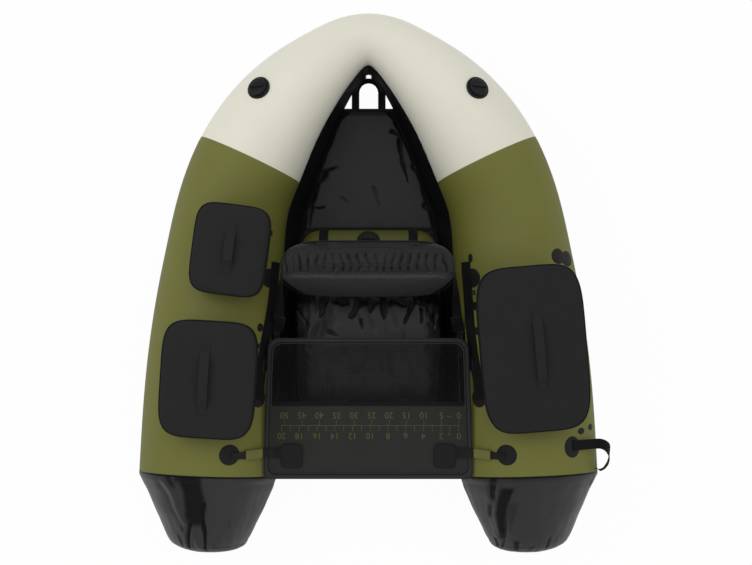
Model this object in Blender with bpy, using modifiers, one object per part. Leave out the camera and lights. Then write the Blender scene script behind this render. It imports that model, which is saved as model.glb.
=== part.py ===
"""Float tube: a V-shaped inflatable hull with a cargo bay, an inflated seat and backrest, a stripping apron
with two side-release buckles, and three bags with hinged zip lids.

Metres, +Z up. +Y points to the bow, where the two tubes meet, and +X to the starboard tube. The origin lies
on the ground under the middle of the hull. Every paired piece is drawn for the starboard side and mirrored.
"""

import math
from typing import NamedTuple

import bmesh
import bpy
import numpy as np
from mathutils import Vector

# Fabric and clearances
GAP = 0.0003
OVERRUN = 0.002
HULL_WALL = 0.0012
WEB_WIDTH = 0.0265
WEB_THICKNESS = 0.002

# Hull
TRACK = 0.480
HULL_REACH = 0.8015
TUBE_DIAMETER = 0.404
KEEL_HEIGHT = 0.183
KEEL_START = 0.050
TUBE_SIDES = 24
BOW_RINGS = 10
SIDE_RINGS = 9
BOW_SEAM_STATION = 5
# Centreline x over TRACK, its y over HULL_REACH, diameter over TUBE_DIAMETER, from the bow to the tails
HULL_STATION_SHARES = (
    (0.000, 0.8858, 0.367),
    (0.110, 0.8701, 0.394),
    (0.240, 0.8181, 0.469),
    (0.400, 0.7299, 0.588),
    (0.560, 0.6182, 0.697),
    (0.7198, 0.4610, 0.783),
    (0.8177, 0.3300, 0.802),
    (0.8953, 0.0960, 0.8683),
    (0.9634, -0.3040, 0.9554),
    (0.9897, -0.7160, 1.000),
)
KEEL_CURVE = 1.6
SEAM_TAPE = 0.040
BAFFLE_DISH = 0.012

# Tail cones
CONE_LENGTH = 0.170
CONE_END_DIAMETER = 0.256
CONE_CURVE = 1.2
CONE_NOSE = 0.044
CONE_NOSE_CURVE = 0.85
CONE_COLLAR = 0.030
CONE_STEPS = 3
NOSE_STEPS = 4

# Valves
BOW_VALVE_X_SHARE = 0.6444
BOW_VALVE_Y_SHARE = 0.6855
VALVE_FLANGE = 0.034
VALVE_FLANGE_RISE = 0.0035
VALVE_FLANGE_SKIRT = 0.009
VALVE_BARREL = 0.019
VALVE_BORE = 0.0145
VALVE_DEPTH = 0.030
VALVE_FLOOR = 0.002
VALVE_CAP = 0.027
VALVE_CAP_RISE = 0.009
VALVE_CAP_EDGE = 0.004
VALVE_GRIP_WIDTH = 0.006
VALVE_GRIP_RISE = 0.004
VALVE_CLEARANCE = 0.0006
VALVE_STEPS = 20
CROSS_VALVE_SHARE = 0.78

# Cargo bay and seat floor
BAY_FLOOR = 0.116
BAY_LEAN = 0.042
BAY_LEAN_LENGTH = 0.490
BAY_WALL = 0.002
BAY_REAR = -0.392
DECK_SETBACK = 0.105
DECK_REAR = 0.1630
FLOOR_THICKNESS = 0.003

# Bow carry handle
BOW_HANDLE_WIDTH = 0.1034
BOW_HANDLE_SETBACK = 0.012
BOW_HANDLE_TOP = 0.048
BOW_HANDLE_SHOULDER = 0.030
BOW_HANDLE_STRAP = 0.023
BOW_HANDLE_TOP_STRAP = 0.0146
BOW_HANDLE_TUCK = 0.024
BOW_HANDLE_THICKNESS = 0.003

# Cross tube between the pontoons
CROSS_Y = 0.087
CROSS_DIAMETER = 0.140
CROSS_LENGTH = 0.410
CROSS_SIDES = 16
CROSS_STRAP_X = 0.1315
CROSS_STRAP_END = math.radians(150)
CROSS_STRAP_STEPS = 9
# Place along the half length and radius over the full one, from the middle to an end
CROSS_END_SHARES = ((0.0, 1.0), (0.72, 1.0), (0.88, 0.93), (0.96, 0.76), (1.0, 0.48))

# Seat cushion
SEAT_WIDTH = 0.447
SEAT_FRONT = -0.375
SEAT_REAR = 0.005
SEAT_THICKNESS = 0.122
SEAT_CORNER = 0.055
SEAT_DRAW_IN = 0.010
# Outline scale and height over the thickness, from the bottom to the crown
SEAT_RING_SHARES = (
    (0.86, 0.0),
    (0.955, 0.07),
    (1.0, 0.30),
    (0.99, 0.58),
    (0.93, 0.80),
    (0.74, 0.93),
    (0.42, 0.985),
)

# Backrest
BACK_FOOT_Y = -0.041
BACK_FOOT_DROP = 0.0062
BACK_LEAN = math.radians(12)
BACK_HEIGHT = 0.310
BACK_TOP_WIDTH = 0.468
BACK_FOOT_WIDTH = 0.340
BACK_THICKNESS = 0.062
BACK_TOP_THICKNESS = 0.088
BACK_FRONT_CROWN = 0.011
BACK_REAR_CROWN = 0.012
BACK_CORNER = 0.055
BACK_WALL = 0.0015
BACK_SLACK = 0.0018
BACK_ZIP_LENGTH = 0.200
BACK_ZIP_WIDTH = 0.012
BACK_STUFF_HOLE = 0.010
BACK_RING_SHARES = (0.92, 0.72, 0.38)
BACK_STRAP_TOP_SHARE = 0.66

# Backrest straps and their adjusters
ADJUSTER_X = 0.2585
ADJUSTER_Y = -0.118
ADJUSTER_Z = 0.288
ADJUSTER_LENGTH = 0.060
ADJUSTER_WIDTH = 0.033
ADJUSTER_THICKNESS = 0.006
ADJUSTER_BAR = 0.0045
ADJUSTER_BAR_RISE = 0.0025
ADJUSTER_BAR_SHARES = (0.14, 0.34, 0.54, 0.74)
ADJUSTER_ANCHOR_X = 0.2765
ADJUSTER_ANCHOR_Y = -0.205
BACK_STRAP_STEPS = 6

# Side straps
SIDE_STRAP_STEPS = 12
PATCH_RADIUS = 0.0285
PATCH_THICKNESS = 0.0022
PATCH_HEIGHT = 0.0004
SKIN_DEPTH = 0.003
SIDE_PATCH_FRONT = 0.0090
SIDE_BUCKLE_Y = -0.236
SIDE_BUCKLE_LENGTH = 0.038
SIDE_BUCKLE_WIDTH = 0.030
SIDE_BUCKLE_THICKNESS = 0.008
SIDE_BUCKLE_SEAT = 0.0015
# Seen from above, from the front anchor patch to the rear one
SIDE_STRAP_X = (0.2850, 0.2905, 0.2965, 0.3010, 0.3120)
SIDE_STRAP_Y = (0.0560, -0.0600, -0.1300, -0.2360, -0.3330)

# Apron
APRON_TOP = 0.315
APRON_FRONT = -0.159
APRON_REAR = -0.5605
APRON_FRONT_WIDTH = 0.5735
APRON_REAR_WIDTH = 0.5965
APRON_CORNER = 0.036
APRON_FABRIC = 0.0015
APRON_BINDING_WIDTH = 0.018
APRON_BINDING_THICKNESS = 0.003
APRON_TUCK = 0.006
NET_REAR = -0.344
NET_COLUMNS = 14
NET_ROWS = 6
NET_CORD_SHARE = 0.16
BINDING_STEP_SHARE = 1.3
APRON_TAB_LENGTH = 0.026

# Apron buckles
BUCKLE_Y = -0.488
BUCKLE_REACH = 0.06375
CLIP_WEB_REACH = 0.0117
STRAP_HEIGHT = 0.006
BUCKLE_LENGTH = 0.057
BUCKLE_WIDTH = 0.028
BUCKLE_THICKNESS = 0.009
BUCKLE_SOCKET_LENGTH = 0.034
BUCKLE_SOCKET_WIDTH = 0.021
BUCKLE_SOCKET_HEIGHT = 0.005
CLIP_CLEARANCE = 0.0004
CLIP_PRONG_WIDTH = 0.0045
CLIP_PRONG_LENGTH = 0.030
CLIP_BASE_LENGTH = 0.006
CLIP_WEB_STEPS = 6
PLATE_INSET = 0.07925
PLATE_Y = -0.497
PLATE_WIDTH = 0.0615
PLATE_LENGTH = 0.0685
PLATE_CORNER = 0.012
PLATE_THICKNESS = 0.0045
PLATE_BEVEL = 0.0012
RIB_WIDTH = 0.004
RIB_RISE = 0.0025
RIB_PITCH = 0.009
RIBS = 2

# Stern carry handle, on the starboard tube only
STERN_HANDLE_SIDE = 1
STERN_PATCH_X = 0.5754
STERN_PATCH_Y = -0.4633
STERN_PATCH_WIDTH = 0.041
STERN_PATCH_LENGTH = 0.059
STERN_PATCH_CORNER = 0.010
STERN_WEB_WIDTH = 0.030
STERN_LOOP_REACH = 0.0761
STERN_LOOP_DRIFT = 0.0107
STERN_TURN_REACH = 0.005
STERN_TURN_DRIFT = 0.038
STERN_END_DRIFT = 0.0777
STERN_END_ANGLE = math.radians(20.3)
STERN_RISE = 0.012
STERN_STEPS = 20


class Bag(NamedTuple):
    """One zipped bag on top of a tube."""

    name: str
    side: int
    y: float
    inboard: float
    width: float
    length: float
    handle: float


# Bags: y of the middle, how far inboard of the tube's centreline, width, length and handle length
LEFT_FRONT_BAG_Y = 0.0965
LEFT_FRONT_BAG_INBOARD = 0.046
LEFT_FRONT_BAG_WIDTH = 0.203
LEFT_FRONT_BAG_LENGTH = 0.240
LEFT_FRONT_BAG_HANDLE = 0.135
LEFT_REAR_BAG_Y = -0.261
LEFT_REAR_BAG_INBOARD = 0.0275
LEFT_REAR_BAG_WIDTH = 0.258
LEFT_REAR_BAG_LENGTH = 0.313
LEFT_REAR_BAG_HANDLE = 0.184
RIGHT_BAG_Y = -0.181
RIGHT_BAG_INBOARD = 0.0045
RIGHT_BAG_WIDTH = 0.288
RIGHT_BAG_LENGTH = 0.450
RIGHT_BAG_HANDLE = 0.209
BAGS = (
    Bag(
        "left_front_bag",
        -1,
        LEFT_FRONT_BAG_Y,
        LEFT_FRONT_BAG_INBOARD,
        LEFT_FRONT_BAG_WIDTH,
        LEFT_FRONT_BAG_LENGTH,
        LEFT_FRONT_BAG_HANDLE,
    ),
    Bag(
        "left_rear_bag",
        -1,
        LEFT_REAR_BAG_Y,
        LEFT_REAR_BAG_INBOARD,
        LEFT_REAR_BAG_WIDTH,
        LEFT_REAR_BAG_LENGTH,
        LEFT_REAR_BAG_HANDLE,
    ),
    Bag("right_bag", 1, RIGHT_BAG_Y, RIGHT_BAG_INBOARD, RIGHT_BAG_WIDTH, RIGHT_BAG_LENGTH, RIGHT_BAG_HANDLE),
)
BAG_RISE = 0.068
BAG_CORNER = 0.052
BAG_CORNER_STEPS = 4
BAG_WALL = 0.003
BAG_TUCK = 0.018
BAG_ZIP_BAND = 0.014
LID_EDGE = 0.009
LID_CROWN = 0.006
LID_CROWN_INSET = 0.016
LID_SHOULDER_SHARE = 0.6
HANDLE_PEAK_SHARE = 1.2
HANDLE_FOOT = 0.018
HANDLE_RISE = 0.012
HANDLE_RAMP = 0.022
SLIDER_LENGTH = 0.014
SLIDER_DEPTH = 0.006
SLIDER_HEIGHT = 0.008
SLIDER_PULL_DROP = 0.022
SLIDER_PULL_THICKNESS = 0.0015
SLIDER_PULL_SHARE = 0.6


class Finish(NamedTuple):
    """Colour in sRGB, roughness and metallic value of a surface."""

    colour: str
    roughness: float
    metallic: float


CREAM_PVC = Finish("DAD8C9", 0.55, 0.0)
OLIVE_PVC = Finish("6B6B38", 0.55, 0.0)
BLACK_PVC = Finish("2A2A2B", 0.35, 0.0)
BLACK_FABRIC = Finish("262627", 0.75, 0.0)
COATED_FABRIC = Finish("1E1E20", 0.40, 0.0)
WEBBING = Finish("1A1A1C", 0.80, 0.0)
BLACK_PLASTIC = Finish("202022", 0.45, 0.0)
OLIVE_PLASTIC = Finish("75753C", 0.50, 0.0)
BLACK_NET = Finish("1C1C1E", 0.70, 0.0)

WORLD_UP = Vector((0, 0, 1))


def clear_scene():
    for obj in list(bpy.data.objects):
        bpy.data.objects.remove(obj, do_unlink=True)


def new_collection(name):
    collection = bpy.data.collections.new(name)
    bpy.context.scene.collection.children.link(collection)
    return collection


def linear(hex_colour):
    """An sRGB hex colour as linear red, green and blue."""
    values = []
    for start in (0, 2, 4):
        value = int(hex_colour[start : start + 2], 16) / 255
        values.append(value / 12.92 if value <= 0.04045 else ((value + 0.055) / 1.055) ** 2.4)
    return values


def give_material(obj, finish):
    material = bpy.data.materials.new(obj.name)
    material.use_nodes = True
    shader = material.node_tree.nodes["Principled BSDF"]
    shader.inputs["Base Color"].default_value = (*linear(finish.colour), 1)
    shader.inputs["Roughness"].default_value = finish.roughness
    shader.inputs["Metallic"].default_value = finish.metallic
    material.diffuse_color = (*linear(finish.colour), 1)
    obj.data.materials.append(material)


def add_object(name, bm, finish=None, side=1, pivot=(0, 0, 0)):
    """Makes an object of the bmesh, mirrored to port where side is -1, with its origin at the pivot.

    An object with no finish is a cutter."""
    if side < 0:
        for vert in bm.verts:
            vert.co.x = -vert.co.x
        bmesh.ops.reverse_faces(bm, faces=bm.faces)
    pivot = Vector(pivot)
    bmesh.ops.translate(bm, verts=bm.verts, vec=-pivot)
    mesh = bpy.data.meshes.new(name)
    bm.to_mesh(mesh)
    bm.free()
    obj = bpy.data.objects.new(name, mesh)
    obj.location = pivot
    if finish is None:
        CUTTERS.objects.link(obj)
        obj.hide_render = True
        obj.display_type = "WIRE"
    else:
        PARTS.objects.link(obj)
        give_material(obj, finish)
    return obj


def smooth_shading(obj, angle=math.radians(35)):
    obj.data.shade_smooth()
    obj.data.set_sharp_from_angle(angle=angle)


def face_outwards(bm):
    bm.normal_update()
    bmesh.ops.recalc_face_normals(bm, faces=bm.faces)


def thicken(obj, thickness, offset):
    modifier = obj.modifiers.new("Thickness", "SOLIDIFY")
    modifier.thickness = thickness
    modifier.offset = offset
    return modifier


def round_edges(obj, width, segments=1):
    modifier = obj.modifiers.new("Rounded edges", "BEVEL")
    modifier.width = width
    modifier.segments = segments
    modifier.limit_method = "ANGLE"


def combine(obj, other, operation):
    modifier = obj.modifiers.new(operation.title(), "BOOLEAN")
    modifier.object = other
    modifier.operation = operation
    modifier.solver = "EXACT"


def box(name, centre, axes, size, finish=None, side=1, pivot=(0, 0, 0)):
    """A cuboid whose edges run along the three given directions."""
    bm = bmesh.new()
    bmesh.ops.create_cube(bm, size=1)
    x, y, z = (Vector(axis).normalized() * length for axis, length in zip(axes, size))
    for vert in bm.verts:
        vert.co = Vector(centre) + x * vert.co.x + y * vert.co.y + z * vert.co.z
    face_outwards(bm)
    return add_object(name, bm, finish, side, pivot)


def cylinder(name, base, direction, radius, length, steps=VALVE_STEPS):
    """A closed cylinder from its base along a direction, as a cutter."""
    bm = bmesh.new()
    bmesh.ops.create_cone(
        bm, cap_ends=True, segments=steps, radius1=radius, radius2=radius, depth=length
    )
    turn = WORLD_UP.rotation_difference(Vector(direction))
    for vert in bm.verts:
        vert.co = Vector(base) + turn @ (vert.co + WORLD_UP * (length / 2))
    return add_object(name, bm)


def prism(name, outline, origin, across, along, height, finish=None, side=1, pivot=(0, 0, 0)):
    """A flat outline, drawn along two directions from an origin, and raised by the height vector."""
    bm = bmesh.new()
    verts = [bm.verts.new(Vector(origin) + Vector(across) * x + Vector(along) * y) for x, y in outline]
    face = bm.faces.new(verts)
    grown = bmesh.ops.extrude_face_region(bm, geom=[face])
    raised = [item for item in grown["geom"] if isinstance(item, bmesh.types.BMVert)]
    bmesh.ops.translate(bm, verts=raised, vec=Vector(height))
    face_outwards(bm)
    return add_object(name, bm, finish, side, pivot)


def rounded_polygon(corners, radii, steps):
    """The corners' outline, each corner replaced by an arc of its radius."""
    outline = []
    count = len(corners)
    for index, (corner, radius) in enumerate(zip(corners, radii)):
        here = Vector(corner)
        before = (Vector(corners[index - 1]) - here).normalized()
        after = (Vector(corners[(index + 1) % count]) - here).normalized()
        half = before.angle(after) / 2
        centre = here + (before + after).normalized() * (radius / math.sin(half))
        first = here + before * (radius / math.tan(half)) - centre
        last = here + after * (radius / math.tan(half)) - centre
        sweep = math.atan2(first.x * last.y - first.y * last.x, first.dot(last))
        for step in range(steps + 1):
            angle = sweep * step / steps
            outline.append(
                (
                    centre.x + first.x * math.cos(angle) - first.y * math.sin(angle),
                    centre.y + first.x * math.sin(angle) + first.y * math.cos(angle),
                )
            )
    return outline


def rounded_rectangle(width, length, radius, steps):
    x = width / 2
    y = length / 2
    return rounded_polygon([(x, -y), (x, y), (-x, y), (-x, -y)], [radius] * 4, steps)


def flat_curve(name, outlines, height, thickness, finish):
    """A level plate with holes: a filled 2D curve with one closed spline for each outline."""
    curve = bpy.data.curves.new(name, "CURVE")
    curve.dimensions = "2D"
    curve.fill_mode = "BOTH"
    curve.extrude = thickness / 2
    for outline in outlines:
        spline = curve.splines.new("POLY")
        spline.points.add(len(outline) - 1)
        for point, (x, y) in zip(spline.points, outline):
            point.co = (x, y, 0, 1)
        spline.use_cyclic_u = True
    obj = bpy.data.objects.new(name, curve)
    obj.location = (0, 0, height + thickness / 2)
    PARTS.objects.link(obj)
    give_material(obj, finish)
    return obj


def loft(rings, start="face", end="face", closed=True):
    """Faces between rings of points that run the same way round. An end is a face, a point or open."""
    bm = bmesh.new()
    rows = [[bm.verts.new(point) for point in ring] for ring in rings]
    count = len(rows[0])
    for row, following in zip(rows, rows[1:]):
        for index in range(count):
            beside = (index + 1) % count
            bm.faces.new((row[index], row[beside], following[beside], following[index]))
    for row, cap in ((rows[0], start), (rows[-1], end)):
        if cap == "face":
            bm.faces.new(row)
        elif cap != "open":
            tip = bm.verts.new(cap)
            for index in range(count):
                bm.faces.new((row[index], row[(index + 1) % count], tip))
    if closed:
        face_outwards(bm)
    return bm


def smooth_path(points, count):
    """Points spaced evenly by parameter on a Catmull-Rom curve through the given points."""
    points = [Vector(point) for point in points]
    points = [points[0] * 2 - points[1], *points, points[-1] * 2 - points[-2]]
    spans = len(points) - 3
    path = []
    for step in range(count + 1):
        place = spans * step / count
        span = min(int(place), spans - 1)
        t = place - span
        a, b, c, d = points[span : span + 4]
        path.append(
            (b * 2 + (c - a) * t + (a * 2 - b * 5 + c * 4 - d) * t**2 + (b * 3 - a - c * 3 + d) * t**3) / 2
        )
    return path


def ribbon(name, path, ups, width, thickness, finish, side=1, pivot=(0, 0, 0)):
    """A flat strap: its underside follows the path, and its thickness stands towards the ups."""
    bm = bmesh.new()
    rows = []
    for index, point in enumerate(path):
        forward = path[min(index + 1, len(path) - 1)] - path[max(index - 1, 0)]
        across = forward.cross(ups[index]).normalized() * (width / 2)
        rows.append([bm.verts.new(point - across), bm.verts.new(point + across)])
    for (a, b), (c, d) in zip(rows, rows[1:]):
        bm.faces.new((a, b, d, c))
    obj = add_object(name, bm, finish, side, pivot)
    thicken(obj, thickness, 1)
    return obj


def twist(first, last, steps):
    """Directions that turn evenly from the first to the last."""
    return [first.lerp(last, step / steps).normalized() for step in range(steps + 1)]


def natural_spline(knots, values):
    """Second derivatives at the knots of the natural cubic spline through the values."""
    steps = np.diff(knots)
    count = len(knots)
    matrix = np.eye(count)
    right = np.zeros_like(values)
    for index in range(1, count - 1):
        before, after = steps[index - 1], steps[index]
        matrix[index, index - 1 : index + 2] = before, 2 * (before + after), after
        rise = (values[index + 1] - values[index]) / after
        right[index] = 6 * (rise - (values[index] - values[index - 1]) / before)
    return np.linalg.solve(matrix, right)


def hull_spline():
    """Knots, in metres from the bow along the centreline, with the stations and their second derivatives."""
    starboard = np.array(HULL_STATION_SHARES) * (TRACK, HULL_REACH, TUBE_DIAMETER / 2)
    port = starboard[:0:-1] * (-1, 1, 1)
    stations = np.vstack([port, starboard])
    steps = np.hypot(*np.diff(stations[:, :2], axis=0).T)
    knots = np.concatenate([[0], np.cumsum(steps)])
    knots -= knots[len(port)]
    return knots, stations, natural_spline(knots, stations)


KNOTS, STATIONS, BENDS = hull_spline()
BOW_SEAM = KNOTS[len(HULL_STATION_SHARES) - 1 + BOW_SEAM_STATION]
TAIL_SEAM = KNOTS[-1]
FLAT_SHARE = math.cos(math.pi / TUBE_SIDES)


def hull_values(s):
    """Centreline x, y and radius of the tube at s metres from the bow, and their slopes."""
    index = int(np.clip(np.searchsorted(KNOTS, s) - 1, 0, len(KNOTS) - 2))
    step = KNOTS[index + 1] - KNOTS[index]
    b = (s - KNOTS[index]) / step
    a = 1 - b
    first, last = STATIONS[index], STATIONS[index + 1]
    bend, bend_after = BENDS[index], BENDS[index + 1]
    place = a * first + b * last + ((a**3 - a) * bend + (b**3 - b) * bend_after) * step**2 / 6
    slope = (last - first) / step + ((3 * b**2 - 1) * bend_after - (3 * a**2 - 1) * bend) * step / 6
    return place, slope


def hull_section(s):
    """Centre, outboard direction, direction to the stern and radius of the tube at s metres from the bow."""
    (x, y, radius), (slope_x, slope_y, _) = hull_values(s)
    sternward = Vector((slope_x, slope_y, 0)).normalized()
    outboard = Vector((-sternward.y, sternward.x, 0))
    rise = max(0, (y - KEEL_START) / (HULL_REACH * HULL_STATION_SHARES[0][1] - KEEL_START))
    z = radius * FLAT_SHARE + KEEL_HEIGHT * rise**KEEL_CURVE
    return Vector((x, y, z)), outboard, sternward, radius


def hull_point(s, angle, lift=0):
    """A point of the tube's skin. Angle 0 is outboard, a quarter turn is the top."""
    centre, outboard, _, radius = hull_section(s)
    return centre + (outboard * math.cos(angle) + WORLD_UP * math.sin(angle)) * (radius + lift)


def hull_normal(s, angle):
    _, outboard, _, _ = hull_section(s)
    return outboard * math.cos(angle) + WORLD_UP * math.sin(angle)


def hull_ring(s, lift=0):
    """The tube's section, with flats at its top, bottom and sides."""
    turn = 2 * math.pi / TUBE_SIDES
    return [hull_point(s, turn * (index + 0.5), lift) for index in range(TUBE_SIDES)]


def bisect(test, low, high, steps=50):
    """The place where the test turns from positive to negative."""
    for _ in range(steps):
        middle = (low + high) / 2
        if test(middle) > 0:
            low = middle
        else:
            high = middle
    return (low + high) / 2


def station_at(y):
    """How far from the bow the centreline passes this y."""
    return bisect(lambda s: hull_values(s)[0][1] - y, 0, TAIL_SEAM)


def hull_place(x, y):
    """Distance from the bow and angle of the point on the tube's top seen at x, y from above."""
    target = Vector((x, y, 0))

    def ahead(s):
        centre, _, sternward, _ = hull_section(s)
        return (target - centre).dot(sternward)

    s = bisect(ahead, 0, TAIL_SEAM)
    centre, outboard, _, radius = hull_section(s)
    return s, math.acos((target - centre).dot(outboard) / radius)


def bow_stations():
    """Ring places from the middle of the bow to the colour seam, closer together where the bow turns."""
    return [(BOW_SEAM - GAP / 2) * (index / BOW_RINGS) ** 1.15 for index in range(BOW_RINGS + 1)]


def side_stations():
    first = BOW_SEAM + GAP / 2
    last = TAIL_SEAM - GAP / 2
    return [first + (last - first) * index / SIDE_RINGS for index in range(SIDE_RINGS + 1)]


def build_bow():
    """The cream bow: one half lofted from the middle to the seam and mirrored, then given its wall."""
    rings = [hull_ring(s) for s in bow_stations()]
    for point in rings[0]:
        point.x = 0
    bow = add_object("bow_tube", loft(rings, "open", "open", closed=False), CREAM_PVC)
    mirror = bow.modifiers.new("Port half", "MIRROR")
    mirror.merge_threshold = 0.0001
    thicken(bow, HULL_WALL, -1)
    smooth_shading(bow)
    middle, _, _, radius = hull_section(0)
    inner = (radius - HULL_WALL) * FLAT_SHARE - GAP
    baffle = bmesh.new()
    bmesh.ops.create_circle(baffle, cap_ends=True, radius=inner, segments=TUBE_SIDES)
    bmesh.ops.poke(baffle, faces=baffle.faces)
    for vert in baffle.verts:
        fill = 1 - (vert.co.length / inner) ** 2
        vert.co = middle + Vector((BAFFLE_DISH * max(fill, 0), vert.co.x, vert.co.y))
    baffle = add_object("bow_baffle", baffle, CREAM_PVC)
    thicken(baffle, HULL_WALL, 0)
    return bow


def build_side(side, word):
    """A side tube, the tape inside its colour seam and its tail cone."""
    rings = [hull_ring(s) for s in side_stations()]
    tube = add_object(f"{word}_side_tube", loft(rings, "open", "open", closed=False), OLIVE_PVC, side)
    thicken(tube, HULL_WALL, -1)
    smooth_shading(tube)

    inside = -HULL_WALL / FLAT_SHARE - GAP * 2
    bands = []
    for near, far in (bow_stations()[-1:-3:-1], side_stations()[:2]):
        share = SEAM_TAPE / 2 / abs(far - near)
        pairs = zip(hull_ring(near, inside), hull_ring(far, inside))
        bands.append([here.lerp(there, share) for here, there in pairs])
    tape = loft([bands[0], hull_ring(BOW_SEAM, inside), bands[1]], "open", "open", closed=False)
    tape = add_object(f"{word}_seam_tape", tape, OLIVE_PVC, side)
    thicken(tape, HULL_WALL, -1)
    build_tail_cone(side, word)
    return tube


def build_tail_cone(side, word):
    """A tapered cone with a rounded end and a collar that slips into the side tube."""
    centre, outboard, sternward, radius = hull_section(TAIL_SEAM)
    turn = 2 * math.pi / TUBE_SIDES

    def ring(distance, size, middle=centre, outward=outboard):
        middle = middle + sternward * distance
        angles = [turn * (index + 0.5) for index in range(TUBE_SIDES)]
        return [middle + (outward * math.cos(a) + WORLD_UP * math.sin(a)) * size for a in angles]

    end = CONE_END_DIAMETER / 2
    inner = radius - HULL_WALL - GAP * 2
    neck, neck_outboard, _, neck_radius = hull_section(TAIL_SEAM - CONE_COLLAR)
    neck_inner = neck_radius - HULL_WALL - GAP * 3
    rings = [ring(0, neck_inner, neck, neck_outboard), ring(GAP / 2, inner), ring(GAP / 2, radius)]
    for step in range(1, CONE_STEPS + 1):
        share = step / CONE_STEPS
        rings.append(ring(CONE_LENGTH * share, radius + (end - radius) * share**CONE_CURVE))
    for step in range(1, NOSE_STEPS):
        angle = math.pi / 2 * step / NOSE_STEPS
        size = end * math.cos(angle) ** CONE_NOSE_CURVE
        rings.append(ring(CONE_LENGTH + CONE_NOSE * math.sin(angle), size))
    tip = centre + sternward * (CONE_LENGTH + CONE_NOSE)
    cone = add_object(f"{word}_tail_cone", loft(rings, "open", tip, closed=False), BLACK_PVC, side)
    thicken(cone, HULL_WALL, -1)
    smooth_shading(cone)


def tube_cutter(name, side, lift):
    """A solid like the side tube but larger by the lift, which seats what lies on the tube."""
    rings = [hull_ring(s, lift / FLAT_SHARE) for s in side_stations()]
    return add_object(name, loft(rings), side=side)


def turned(name, profile, finish, seat, normal):
    """A piece turned about its own Z axis from a profile of radius and height, set on a seat."""
    bm = bmesh.new()
    verts = [bm.verts.new((radius, 0, height)) for radius, height in profile]
    for a, b in zip(verts, verts[1:]):
        bm.edges.new((a, b))
    obj = add_object(name, bm, finish)
    screw = obj.modifiers.new("Turned", "SCREW")
    screw.steps = VALVE_STEPS
    screw.render_steps = VALVE_STEPS
    screw.use_merge_vertices = True
    screw.merge_threshold = 0.0001
    obj.location = seat
    obj.rotation_mode = "QUATERNION"
    obj.rotation_quaternion = WORLD_UP.rotation_difference(normal)
    return obj


def build_valve(name, seat, normal, holder, holder_solid):
    """An inflation valve: a flanged body through the skin, and a quarter-turn cap with a grip bar.

    The holder gets the hole, and the holder's solid shapes the underside of the flange."""
    hole = VALVE_BARREL + VALVE_CLEARANCE
    through = cylinder(f"{name}_hole", seat - normal * VALVE_DEPTH, normal, hole, VALVE_DEPTH * 2)
    combine(holder, through, "DIFFERENCE")

    flange = [
        (VALVE_BORE + VALVE_CLEARANCE, VALVE_FLANGE_RISE),
        (VALVE_FLANGE - VALVE_FLANGE_RISE / 2, VALVE_FLANGE_RISE),
        (VALVE_FLANGE, VALVE_FLANGE_RISE / 2),
        (VALVE_FLANGE, -VALVE_FLANGE_SKIRT),
        (VALVE_BORE + VALVE_CLEARANCE, -VALVE_FLANGE_SKIRT),
        (VALVE_BORE + VALVE_CLEARANCE, VALVE_FLANGE_RISE),
    ]
    body = turned(f"{name}_body", flange, BLACK_PLASTIC, seat, normal)
    combine(body, holder_solid, "DIFFERENCE")
    barrel_top = VALVE_FLANGE_RISE - VALVE_CLEARANCE
    barrel = [
        (0, VALVE_FLOOR - VALVE_DEPTH),
        (VALVE_BORE, VALVE_FLOOR - VALVE_DEPTH),
        (VALVE_BORE, barrel_top),
        (VALVE_BARREL, barrel_top),
        (VALVE_BARREL, -VALVE_DEPTH),
        (0, -VALVE_DEPTH),
    ]
    barrel = turned(f"{name}_barrel", barrel, None, seat, normal)
    combine(body, barrel, "UNION")

    foot = VALVE_FLANGE_RISE + GAP
    stem = VALVE_BORE - VALVE_CLEARANCE
    cap = [
        (0, foot + VALVE_CAP_RISE),
        (VALVE_CAP * 0.6, foot + VALVE_CAP_RISE * 0.92),
        (VALVE_CAP - VALVE_CAP_EDGE / 2, foot + VALVE_CAP_RISE * 0.7),
        (VALVE_CAP, foot + VALVE_CAP_EDGE),
        (VALVE_CAP, foot),
        (stem, foot),
        (stem, -VALVE_FLANGE_RISE),
        (0, -VALVE_FLANGE_RISE),
    ]
    cap = turned(f"{name}_cap", cap, BLACK_PLASTIC, seat, normal)
    grip = box(
        f"{name}_grip",
        (0, 0, foot + VALVE_CAP_RISE),
        ((1, 0, 0), (0, 1, 0), (0, 0, 1)),
        (VALVE_CAP * 1.5, VALVE_GRIP_WIDTH, VALVE_GRIP_RISE * 2),
    )
    grip.location = seat
    grip.rotation_mode = "QUATERNION"
    grip.rotation_quaternion = WORLD_UP.rotation_difference(normal)
    combine(cap, grip, "UNION")
    for obj in (body, cap):
        smooth_shading(obj)


def bay_rail(s):
    """Top and bottom corners of the bay wall's section: outer and inner top, inner and outer bottom."""
    centre, outboard, _, radius = hull_section(s)
    apex = hull_point(0, math.pi)
    top = centre - outboard * (radius * FLAT_SHARE + GAP)
    top.x = max(top.x, GAP)
    aft = min(1, (apex.y - top.y) / BAY_LEAN_LENGTH)
    bottom = top - outboard * (BAY_LEAN * math.sin(math.pi / 2 * max(aft, 0)))
    bottom.x = max(bottom.x, GAP)
    bottom.z = BAY_FLOOR
    inward = outboard * BAY_WALL
    return top, top - inward, bottom - inward, bottom


def bay_stations():
    """Places along the hull where the bay wall has a section: the tube's own rings down to the bay's rear."""
    last = bisect(lambda s: bay_rail(s)[0].y - BAY_REAR, 0, TAIL_SEAM)
    places = [s for s in bow_stations() + side_stations() if s < last - SEAM_TAPE]
    return places + [last]


def deck_front():
    """The y of the deck's front edge, set back from the point where the tubes meet."""
    return hull_point(0, math.pi).y - DECK_SETBACK


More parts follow.
